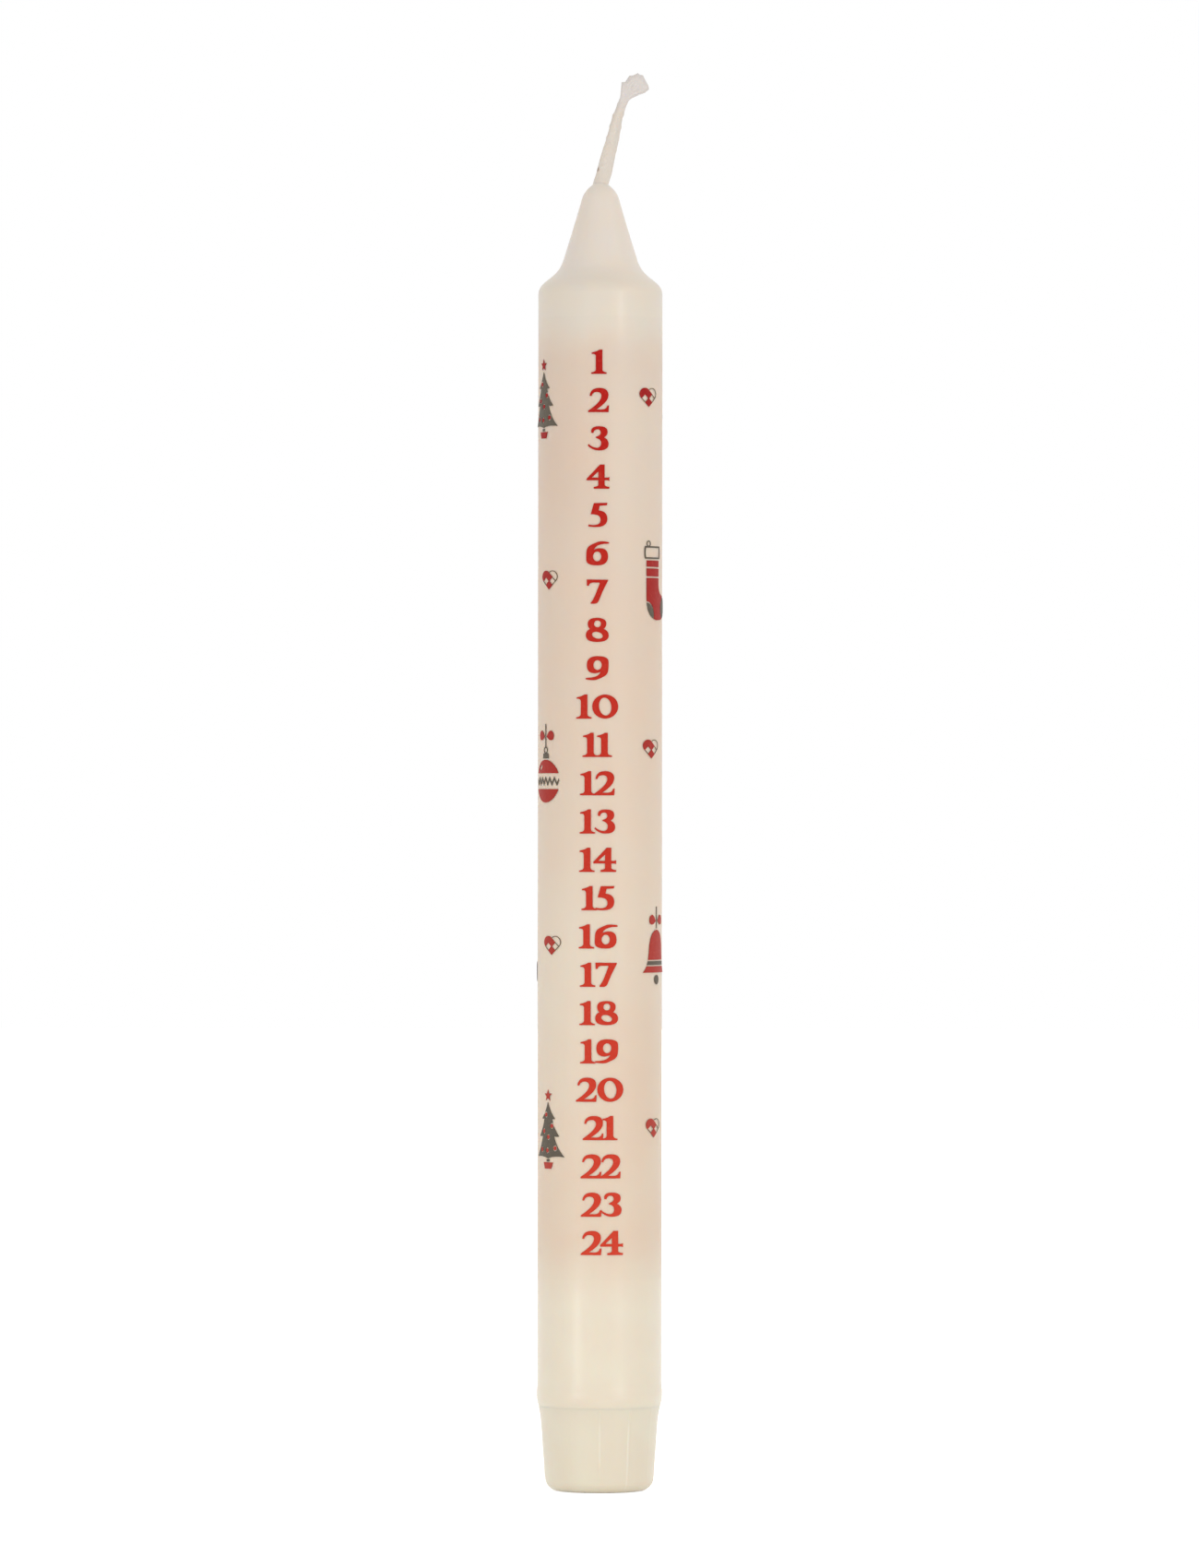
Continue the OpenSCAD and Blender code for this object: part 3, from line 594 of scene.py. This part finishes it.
def coat_profile():
    shelf = FOOT_LEN + BEAD_FULL * BEAD_H
    waist = FOOT_LEN + (1 + BEAD_FULL) / 2 * BEAD_H
    bead_top = FOOT_LEN + BEAD_H
    lift = FOOT_LEN + BEAD_LIFT * BEAD_H
    bead = curve([(FOOT_RIM_R, FOOT_LEN), (BEAD_R, lift), (BEAD_R, shelf)], BEAD_STEPS)
    bead += curve(
        [(BEAD_R, shelf), (BEAD_R, waist), (BODY_R, waist), (BODY_R, bead_top)], BEAD_STEPS, skip=1
    )
    body = straight((BODY_R, bead_top), (BODY_R, BODY_TOP_Z), BODY_STEPS)
    bend_r = CONE_TOP_R - TIP_CLOSE * (CONE_TOP_R - HOLE_R)
    tip = curve([
        (CONE_TOP_R, CONE_TOP_Z), (bend_r, CONE_TOP_Z + TIP_FULL * (TIP_Z - CONE_TOP_Z)), (HOLE_R, TIP_Z)
    ], TIP_STEPS, skip=1)
    tip.append((HOLE_R - CREEP, TIP_Z + CREEP))
    outside = bead + body + shoulder(0)[1:] + cone(0) + tip
    inner_depth = COAT_T - BOND_GAP
    inside = [(CORE_R + BOND_GAP, FOOT_LEN)] + shoulder(inner_depth) + cone(inner_depth)
    top = CONE_TOP_Z + BOND_GAP
    inside += [(CONE_TOP_R - inner_depth, top), (HOLE_R, top)]
    return outside + inside[::-1]


def make_coat():
    points, faces = lathe(coat_profile(), ROUND, waxed)
    return add_piece("dipped_coat", points, faces, coat_look(), "coat_wax", "dip_coat")


# Half of the angles across a ridge, in degrees from its middle, and the steps between two ridges
RIDGE_DEGREES = (0.45, 0.9, 1.3, 1.7, 2.1, 2.6)
PLAIN_STEPS = 11
SECTOR = 2 * math.pi / RIDGES
# How far under the bead the ridges end
RIDGE_END = 0.2
# The share of a ridge's height that handling has left: its mean, and how far it swings from ridge to ridge
RIDGE_MEAN, RIDGE_SWING = 0.35, 0.35
# How deep the foot's dents are, and the margin by which a point counts as on its flat underside
DENT_DEPTH = 0.015
FLAT_MARGIN = 0.01
# Width of the first ring of the underside, round the wick's hole
HOLE_RIM = 0.2


def foot_angles():
    """The foot's ridges take more points round the candle than the plain wax between them."""
    degrees = [-d for d in RIDGE_DEGREES[::-1]] + [0, *RIDGE_DEGREES]
    fine = [math.radians(d) for d in degrees]
    coarse_from = fine[-1]
    coarse_to = SECTOR + fine[0]
    coarse = [coarse_from + (coarse_to - coarse_from) * k / PLAIN_STEPS for k in range(1, PLAIN_STEPS)]
    return [k * SECTOR - math.pi / 2 + a for k in range(RIDGES) for a in fine + coarse]


def ridge_height(z):
    """Share of a ridge's height, which is rounded off at both ends."""
    low, high = FOOT_EDGE_R, FOOT_LEN - RIDGE_END
    off = max(low + RIDGE_R - z, z - high + RIDGE_R, 0) / RIDGE_R
    return math.sqrt(max(0, 1 - off * off))


def ridge_left(number):
    """Share of a ridge's height that handling has left. Ridge 0 is the front one."""
    return RIDGE_MEAN + RIDGE_SWING * math.cos(math.pi / 2 * (number - TALLEST_GLINT_RIDGE))


def footed(r, z, a):
    """A point of the core: its foot has ridges, and everything above is plain."""
    if z > FOOT_LEN or r < FLAT_R - FLAT_MARGIN:
        return on_circle(r, a)
    number = round((a + math.pi / 2) / SECTOR)
    off = a + math.pi / 2 - number * SECTOR
    centre = r - RIDGE_R + RIDGE_PROUD
    across = centre * math.sin(off)
    bump = 0
    if abs(across) < RIDGE_R:
        bump = centre * math.cos(off) + math.sqrt(RIDGE_R ** 2 - across ** 2) - r
    dent = DENT_DEPTH * (1 + math.sin(3 * a + 0.5 * z) * math.sin(5 * a - 0.8 * z))
    return on_circle(r + max(0, bump) * ridge_height(z) * ridge_left(number) - dent, a)


def flare(z):
    """How much the foot widens just under the bead, where dipped wax has crept down it."""
    return FOOT_FLARE * max(0, 1 - (FOOT_LEN - z) / FLARE_LEN) ** 2


def core_profile():
    rim_r = HOLE_R + HOLE_RIM
    edge = [
        (FLAT_R + FOOT_EDGE_R * math.sin(t), FOOT_EDGE_R * (1 - math.cos(t)))
        for t in (math.pi / 2 * k / EDGE_STEPS for k in range(EDGE_STEPS + 1))
    ]
    underside = [(HOLE_R, 0.0), (rim_r, 0.0)] + straight((rim_r, 0), (FLAT_R, 0), UNDERSIDE_STEPS)[:-1]
    taper = [(r + flare(z), z) for r, z in straight(edge[-1], (FOOT_TOP_R, FOOT_LEN), TAPER_STEPS)]
    inside = [(CORE_R, FOOT_LEN), (CORE_R, (FOOT_LEN + BODY_TOP_Z) / 2)]
    top = [(HOLE_R, CONE_TOP_Z)]
    return underside + edge + taper + inside + shoulder(COAT_T) + cone(COAT_T) + top


def make_core():
    points, faces = lathe(core_profile(), foot_angles(), footed)
    return add_piece("core_and_foot", points, faces, core_look(), "core_wax", "wax_core")


def make_sleeve():
    edge_r = FILM_OUT_R - FILM_T + FILM_EDGE_T
    full_from = (FILM_OUT_R, SLEEVE_Z + FILM_FEATHER)
    full_to = (FILM_OUT_R, SLEEVE_TOP_Z - FILM_FEATHER)
    outer = [(edge_r, SLEEVE_Z)] + straight((edge_r, SLEEVE_Z), full_from, FEATHER_STEPS)
    outer += straight(full_from, full_to, SLEEVE_STEPS)
    outer += straight(full_to, (edge_r, SLEEVE_TOP_Z), FEATHER_STEPS)
    profile = outer + [(FILM_OUT_R - FILM_T, z) for _, z in outer[::-1]]
    points, faces = lathe(profile, ROUND, lambda r, z, a: on_circle(r - waves(a, z), a))
    return add_piece("clear_sleeve", points, faces, film_look(), "clear_film", "print_sleeve")


# Wick
# Its course: sideways lean, and height above the tip
WICK_LEAN = [
    (0, -1.5), (0, 0), (0.6, 2), (1.05, 4), (1.55, 6), (2.1, 8), (2.55, 10), (3, 12), (3.7, 14), (4.15, 15.3)
]
NECK = WICK_LEAN[-1][1]
WICK_TURN = math.pi / 2
# How deep the braid is rooted in the tip, and how far and how much it is fuller above it
ROOTED = 1.5
ROOT_LEN = 3.0
ROOT_FULL = 0.45
# The braid: three bundles swing past each other, and each holds plies that twist round its middle
BRAID_PITCH = 6.2
BUNDLES = 3
PLIES = 5
BUNDLE_SWING = 0.77
BUNDLE_DEPTH = 0.245
PLY_AT = 0.33
PLY_R = 0.3
PLY_TWIST = 0.9
WAX_FILL = 0.97
BRAID_STEPS = 100
FILL_STEPS = 80
# What fuses the braid, and the cut end under the foot: voxels, and rounds of smoothing of one strength
SOFTENING = 0.5
BRAID_VOXEL, BRAID_ROUNDS = 0.07, 7
STUB_VOXEL, STUB_ROUNDS = 0.09, 2
# The frayed end's outline round the neck: angle from the right in degrees, and reach
FAN = [
    (188, 0.73), (115, 1.37), (99, 2.95), (86, 2.95), (82, 3.4), (77.5, 4.15), (68.5, 4.45), (61.5, 5.2),
    (56.5, 5.05), (51, 5.35), (40.5, 5.0), (27.5, 4.9), (20, 4.75), (15.5, 3.8), (14.5, 3), (11.5, 2.3),
    (2, 1.35), (-23, 0.8)
]
FAN_MIDDLE = (1.9, 2.3)
TUFT_DEPTH = 1.45
TUFT_BEND = math.radians(75)
TUFT_FULL = 0.35
# The thick locks over the frayed end's front and back: how many on each, and the angles between them
LOCKS = 7
LOCK_FIRST = 95
LOCK_LAST = 25
LOCK_DEPTHS = (-1.2, 1.2)
LOCK_R = 0.42
LOCK_STEPS = 18
# Where a lock starts and bends, from the neck: to the right, up, how far the locks spread, and how deep
LOCK_START = (-0.4, -1.3, 0.6, 0.8)
LOCK_BEND = (0.1, 0.5, 0.7, 1.05)
# A lock's end: its share of the lock's depth, its shares of the outline's reach, and how far it strays
LOCK_END_DEPTH = 0.85
LOCK_LENGTHS = (0.9, 0.98)
LOCK_JITTER = 0.12
# Sideways shift of a lock, in lock steps for each millimetre of its depth
LOCK_STAGGER = 0.15
# A lock's radius at the neck and what it gains, where it closes and how much
LOCK_SLIM, LOCK_SWELL = 0.75, 0.3
LOCK_CLOSES, LOCK_CLOSED = 0.9, 0.8
# The cut end of the wick in the underside of the foot
STUB_SLIM = 0.9
STUB_Z = 0.25
STUB_LOW = 0.03
STUB_STEP, STUB_STEPS = 0.2, 8
# The buried rod's lower end, how far under the tip it ends, and its fineness
ROD_LOW = 1.5
ROD_DROP = 1.2
ROD_STEPS, ROD_SIDES = 30, 24
# Loose hairs: their radius, steps, curl and taper, and where along a ply they may start
HAIR_R = 0.03
HAIR_STEPS = 6
HAIR_SIDES = 4
HAIR_CURL = 0.12
HAIR_TAPER = 0.6
HAIR_FIRST, HAIR_LAST = 14, 98
# Between what limits a ply's hair rises, heads along its ply, and is long
HAIR_RISE = (-0.2, 0.6)
HAIR_AHEAD = (1.0, 2.2)
HAIR_LENGTHS = (0.35, 0.6)
# Combed hairs on each lock: how many, where they may start, how long, how far out, and how they stand off
LOCK_HAIRS = 2
LOCK_HAIR_FIRST = 8
LOCK_HAIR_LEN = 1.2
LOCK_HAIR_VARIES = (0.8, 1.1)
LOCK_HAIR_OUT = 0.8
LOCK_HAIR_OFF = 0.25


def lean(height):
    """The wick's sideways lean at a height above the tip."""
    heights = [h for _, h in WICK_LEAN]
    i = max(0, min(len(heights) - 2, sum(h <= height for h in heights) - 1))
    before, here, there, after = (WICK_LEAN[max(0, min(len(heights) - 1, j))][0] for j in range(i - 1, i + 3))
    t = (height - heights[i]) / (heights[i + 1] - heights[i])
    return 0.5 * (
        2 * here + (there - before) * t + (2 * before - 5 * here + 4 * there - after) * t * t
        + (3 * here - before - 3 * there + after) * t ** 3
    )


NECK_AT = Vector((lean(NECK), 0, TIP_Z + NECK))


def in_braid(across, deep, height):
    """A place in the free wick, which is fuller at its root and turns as it rises."""
    up = max(0, height)
    deep *= 1 + ROOT_FULL * max(0, 1 - up / ROOT_LEN)
    turn = WICK_TURN * up / NECK
    x = across * math.cos(turn) - deep * math.sin(turn)
    y = across * math.sin(turn) + deep * math.cos(turn)
    return Vector((lean(height) + x, y, TIP_Z + height))


def ply_point(bundle, ply, height):
    """A ply's middle: round its bundle, whose three bundles braid."""
    phase = 2 * math.pi * (height / BRAID_PITCH + bundle / BUNDLES)
    own = 2 * math.pi * ply / PLIES + PLY_TWIST * height
    across = BUNDLE_SWING * math.sin(phase) + PLY_AT * math.cos(own)
    deep = BUNDLE_DEPTH * math.sin(2 * phase) + PLY_AT * math.sin(own)
    return in_braid(across, deep, height)


def braid_heights(steps):
    """Heights from inside the tip to the neck."""
    return [-ROOTED + (NECK + ROOTED) * k / steps for k in range(steps + 1)]


def plies():
    """Each ply's path from inside the tip to the neck."""
    heights = braid_heights(BRAID_STEPS)
    return [[ply_point(b, p, h) for h in heights] for b in range(BUNDLES) for p in range(PLIES)]


def fan_reach(degrees):
    for (wide, far), (narrow, near) in zip(FAN, FAN[1:]):
        if degrees >= narrow:
            return far + (near - far) * (wide - degrees) / (wide - narrow)
    return FAN[-1][1]


def frayed_locks():
    """Paths of the thick locks that the braid opens into, over the frayed end's front and back."""
    start_x, start_z, start_spread, start_deep = LOCK_START
    bend_x, bend_z, bend_spread, bend_deep = LOCK_BEND
    paths = []
    for deep in LOCK_DEPTHS:
        for k in range(LOCKS):
            share = (k + 0.5 + LOCK_STAGGER * deep) / LOCKS
            degrees = LOCK_FIRST + (LOCK_LAST - LOCK_FIRST) * share
            reach = (fan_reach(degrees) - LOCK_R) * random.uniform(*LOCK_LENGTHS)
            angle = math.radians(degrees)
            at_end = LOCK_END_DEPTH * deep + random.uniform(-LOCK_JITTER, LOCK_JITTER)
            end = NECK_AT + Vector((reach * math.cos(angle), at_end, reach * math.sin(angle)))
            start = NECK_AT + Vector((start_spread * (share - 0.5) + start_x, start_deep * deep, start_z))
            bend = NECK_AT + Vector((bend_spread * (share - 0.5) + bend_x, bend_deep * deep, bend_z))
            steps = [i / LOCK_STEPS for i in range(LOCK_STEPS + 1)]
            paths.append([(1 - t) ** 2 * start + 2 * t * (1 - t) * bend + t * t * end for t in steps])
    return paths


def tuft_body(steps=8):
    """The frayed end's pressed fibres: its outline, drawn in towards its front and its back."""
    angles = [math.radians(degrees) for degrees, _ in FAN]
    outline = [(reach * math.cos(a), reach * math.sin(a)) for a, (_, reach) in zip(angles, FAN)]
    middle_x, middle_z = FAN_MIDDLE
    rings = []
    for k in range(steps + 1):
        bend = TUFT_BEND * (2 * k / steps - 1)
        share, deep = math.cos(bend) ** TUFT_FULL, TUFT_DEPTH * math.sin(bend)
        rings.append([
            NECK_AT + Vector((middle_x + share * (x - middle_x), deep, middle_z + share * (z - middle_z)))
            for x, z in outline
        ])
    return loft(rings)


def loft(rings):
    """Points and faces of a closed skin over rings that have as many points each."""
    sides = len(rings[0])
    faces = []
    for i in range(len(rings) - 1):
        for k in range(sides):
            a, b = i * sides + k, i * sides + (k + 1) % sides
            faces.append((a, b, b + sides, a + sides))
    faces.append(tuple(range(sides - 1, -1, -1)))
    faces.append(tuple(range((len(rings) - 1) * sides, len(rings) * sides)))
    return [point for ring in rings for point in ring], faces


def tube(path, radii, sides=8):
    """A closed tube along a path."""
    rings = []
    side = Vector((0, 1, 0))
    for i, centre in enumerate(path):
        ahead = (path[min(i + 1, len(path) - 1)] - path[max(i - 1, 0)]).normalized()
        side = (side - ahead * side.dot(ahead)).normalized()
        up = ahead.cross(side)
        angles = [2 * math.pi * k / sides for k in range(sides)]
        rings.append([centre + radii[i] * (math.cos(a) * side + math.sin(a) * up) for a in angles])
    return loft(rings)


def wax_filling(sides=40):
    """The wax that fills the braid, just under its plies."""
    half_w, half_t = WAX_FILL * WICK_R, WAX_FILL * WICK_T / 2
    angles = [2 * math.pi * k / sides for k in range(sides)]
    heights = braid_heights(FILL_STEPS)
    return loft([[in_braid(half_w * math.cos(a), half_t * math.sin(a), h) for a in angles] for h in heights])


def join(parts):
    points, faces = [], []
    for more_points, more_faces in parts:
        start = len(points)
        points.extend(more_points)
        faces.extend(tuple(start + v for v in face) for face in more_faces)
    return points, faces


def fused(parts, voxel, rounds):
    """One skin round many closed parts, as wax leaves it: points and faces."""
    points, faces = join(parts)
    mesh = bpy.data.meshes.new("loose_parts")
    mesh.from_pydata([tuple(p) for p in points], [], faces)
    loose = bpy.data.objects.new("loose_parts", mesh)
    bpy.context.scene.collection.objects.link(loose)
    remesh = loose.modifiers.new("fuse", "REMESH")
    remesh.mode = "VOXEL"
    remesh.voxel_size = voxel
    smooth = loose.modifiers.new("soften", "SMOOTH")
    smooth.factor = SOFTENING
    smooth.iterations = rounds
    done = loose.evaluated_get(bpy.context.evaluated_depsgraph_get()).to_mesh()
    made = [v.co.copy() for v in done.vertices], [tuple(f.vertices) for f in done.polygons]
    bpy.data.objects.remove(loose)
    return made


def lock_radii():
    """A lock swells from the neck and closes round at its end."""
    radii = []
    for i in range(LOCK_STEPS + 1):
        t = i / LOCK_STEPS
        radii.append(LOCK_R * (LOCK_SLIM + LOCK_SWELL * t) * (1 if t < LOCK_CLOSES else LOCK_CLOSED))
    return radii


def buried_rod():
    """The wick inside the wax, which nothing shows."""
    rod_top = TIP_Z - ROD_DROP
    path = [Vector((0, 0, ROD_LOW + (rod_top - ROD_LOW) * k / ROD_STEPS)) for k in range(ROD_STEPS + 1)]
    return tube(path, [WICK_R] * len(path), ROD_SIDES)


def cut_end():
    """The braid's end in the underside of the foot, cut level."""
    stub = []
    for bundle in range(BUNDLES):
        for ply in range(PLIES):
            path = [ply_point(bundle, ply, -ROOTED + STUB_STEP * k) for k in range(STUB_STEPS + 1)]
            path = [Vector((STUB_SLIM * p.x, STUB_SLIM * p.y, p.z - TIP_Z + ROOTED + STUB_Z)) for p in path]
            stub.append(tube(path, [PLY_R] * len(path)))
    points, faces = fused(stub, STUB_VOXEL, STUB_ROUNDS)
    return [Vector((p.x, p.y, max(p.z, STUB_LOW))) for p in points], faces


def make_wick(locks):
    braid = [wax_filling()] + [tube(path, [PLY_R] * len(path)) for path in plies()]
    braid += [tuft_body()] + [tube(path, lock_radii()) for path in locks]
    points, faces = join([fused(braid, BRAID_VOXEL, BRAID_ROUNDS), buried_rod(), cut_end()])
    return add_piece("braided_wick", points, faces, cotton_look(), "braided_cotton", "wick", sharp=70)


def make_fibres(locks):
    """Loose cotton hairs on the braid, and combed ones that lie along the locks and leave their ends."""
    hairs = []
    for path in plies():
        at = random.randrange(HAIR_FIRST, HAIR_LAST)
        along = (path[at + 1] - path[at - 1]).normalized()
        away = Vector((random.uniform(-1, 1), random.uniform(-1, 1), random.uniform(*HAIR_RISE)))
        heading = along * random.uniform(*HAIR_AHEAD) + away
        hairs.append(hair(path[at], heading, random.uniform(*HAIR_LENGTHS)))
    for path in locks:
        for _ in range(LOCK_HAIRS):
            at = random.randrange(LOCK_HAIR_FIRST, LOCK_STEPS)
            along = (path[at + 1] - path[at - 1]).normalized()
            away = Vector([random.uniform(-1, 1) for _ in range(3)])
            away = (away - along * away.dot(along)).normalized()
            left = (path[-1] - path[at]).length + LOCK_R
            long = min(left, LOCK_HAIR_LEN) * random.uniform(*LOCK_HAIR_VARIES)
            hairs.append(hair(path[at] + LOCK_HAIR_OUT * LOCK_R * away, along + LOCK_HAIR_OFF * away, long))
    points, faces = join(hairs)
    return add_piece("wick_fibres", points, faces, cotton_look(), "braided_cotton")


def hair(start, heading, long):
    """One fine hair that curls away from its heading."""
    curl = Vector([random.uniform(-HAIR_CURL, HAIR_CURL) for _ in range(3)])
    ahead = heading.normalized()
    steps = range(HAIR_STEPS + 1)
    line = [start + ahead * long * k / HAIR_STEPS + curl * (k / HAIR_STEPS) ** 2 for k in steps]
    return tube(line, [HAIR_R * (1 - HAIR_TAPER * k / HAIR_STEPS) for k in steps], HAIR_SIDES)


# Print
# Each red is given at the sleeve's lower end and at its upper end
RED_LOW = linear(210, 64, 42)
RED_HIGH = linear(174, 10, 6)
ORNAMENT_LOW = linear(184, 72, 60)
ORNAMENT_HIGH = linear(154, 8, 14)
WORN_RED = linear(232, 110, 90)
GREY = linear(98, 90, 78)
HEART_LINE = linear(100, 84, 58)
WORN_GREY = linear(160, 148, 128)


def paint_print():
    """Gives each printed CAD node its ink."""
    number_ink = ink_look("number_ink", RED_LOW, RED_HIGH, WORN_RED)
    red_ink = ink_look("ornament_red_ink", ORNAMENT_LOW, ORNAMENT_HIGH, WORN_RED)
    grey_ink = ink_look("ornament_grey_ink", GREY, GREY, WORN_GREY)
    line_ink = ink_look("heart_line_ink", HEART_LINE, HEART_LINE, WORN_GREY)
    for name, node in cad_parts.items():
        if name.startswith("numeral_"):
            ink = number_ink
        elif name.endswith("_red"):
            ink = red_ink
        elif name.endswith("_grey"):
            ink = grey_ink
        elif name.endswith("_outline"):
            ink = line_ink
        else:
            continue
        node.data.materials.clear()
        node.data.materials.append(ink)


# Floor, backdrop and light, with lengths in metres
AMBIENT = 0.78
FLOOR_GREY = 0.92
FLOOR_GLOW = 0.65
FLOOR_HALF = 3.0
FLOOR_DROP = 0.01 * MM
LAMP_AIM = Vector((0, 0, 0.12))


def seen_directly(tree):
    """1 for what the camera, reflections and glass see, and 0 for the light that falls on the object."""
    path = tree.nodes.new("ShaderNodeLightPath")
    seen = path.outputs["Is Camera Ray"]
    for other in ("Is Glossy Ray", "Is Transmission Ray"):
        either = tree.nodes.new("ShaderNodeMath")
        either.operation = "MAXIMUM"
        tree.links.new(seen, either.inputs[0])
        tree.links.new(path.outputs[other], either.inputs[1])
        seen = either.outputs[0]
    return seen


def white_to_camera(tree, shader, share):
    """Adds light that only the camera, reflections and glass see."""
    glow = tree.nodes.new("ShaderNodeEmission")
    glow.inputs["Color"].default_value = (1, 1, 1, 1)
    strength = tree.nodes.new("ShaderNodeMath")
    strength.operation = "MULTIPLY"
    tree.links.new(seen_directly(tree), strength.inputs[0])
    strength.inputs[1].default_value = share
    tree.links.new(strength.outputs[0], glow.inputs["Strength"])
    total = tree.nodes.new("ShaderNodeAddShader")
    tree.links.new(shader, total.inputs[0])
    tree.links.new(glow.outputs[0], total.inputs[1])
    return total.outputs[0]


def make_floor():
    look = bpy.data.materials.new("floor_white")
    look.use_nodes = True
    tree = look.node_tree
    tree.nodes.clear()
    paint = tree.nodes.new("ShaderNodeBsdfDiffuse")
    paint.inputs["Color"].default_value = (FLOOR_GREY, FLOOR_GREY, FLOOR_GREY, 1)
    out = tree.nodes.new("ShaderNodeOutputMaterial")
    tree.links.new(white_to_camera(tree, paint.outputs[0], FLOOR_GLOW), out.inputs["Surface"])
    mesh = bpy.data.meshes.new("floor")
    corners = [(x * FLOOR_HALF, y * FLOOR_HALF, -FLOOR_DROP) for x, y in ((-1, -1), (1, -1), (1, 1), (-1, 1))]
    mesh.from_pydata(corners, [], [(0, 1, 2, 3)])
    mesh.materials.append(look)
    floor = bpy.data.objects.new("floor", mesh)
    bpy.context.scene.collection.objects.link(floor)


def make_world():
    world = bpy.data.worlds.new("studio")
    bpy.context.scene.world = world
    world.use_nodes = True
    tree = world.node_tree
    tree.nodes.clear()
    strength = tree.nodes.new("ShaderNodeMapRange")
    tree.links.new(seen_directly(tree), strength.inputs["Value"])
    strength.inputs["To Min"].default_value = AMBIENT
    strength.inputs["To Max"].default_value = 1.0
    sky = tree.nodes.new("ShaderNodeBackground")
    sky.inputs["Color"].default_value = (1, 1, 1, 1)
    tree.links.new(strength.outputs[0], sky.inputs["Strength"])
    out = tree.nodes.new("ShaderNodeOutputWorld")
    tree.links.new(sky.outputs[0], out.inputs["Surface"])


def softbox(name, azimuth, height, distance, wide, tall, power):
    """A soft lamp that looks at the candle. Degrees from the camera to the right, metres and watts."""
    data = bpy.data.lights.new(name, "AREA")
    data.shape = "RECTANGLE"
    data.size, data.size_y = wide, tall
    data.energy = power
    lamp = bpy.data.objects.new(name, data)
    a = math.radians(azimuth)
    lamp.location = (distance * math.sin(a), -distance * math.cos(a), height)
    aim = LAMP_AIM - lamp.location
    lamp.rotation_euler = aim.to_track_quat("-Z", "Y").to_euler()
    bpy.context.scene.collection.objects.link(lamp)


def make_studio():
    make_floor()
    make_world()
    softbox("softbox_right", azimuth=38, height=0.2, distance=1.0, wide=0.12, tall=0.4, power=1.25)
    softbox("softbox_left", azimuth=-41, height=0.018, distance=0.3, wide=0.07, tall=0.034, power=0.085)
    softbox("softbox_front", azimuth=-20, height=0.2, distance=1.0, wide=0.5, tall=0.4, power=0.5)
    softbox("softbox_high", azimuth=60, height=0.7, distance=1.0, wide=0.3, tall=0.4, power=0.4)


make_studio()
make_core()
make_coat()
make_sleeve()
paint_print()
LOCK_PATHS = frayed_locks()
make_wick(LOCK_PATHS)
make_fibres(LOCK_PATHS)

bpy.context.scene.view_settings.view_transform = "Standard"
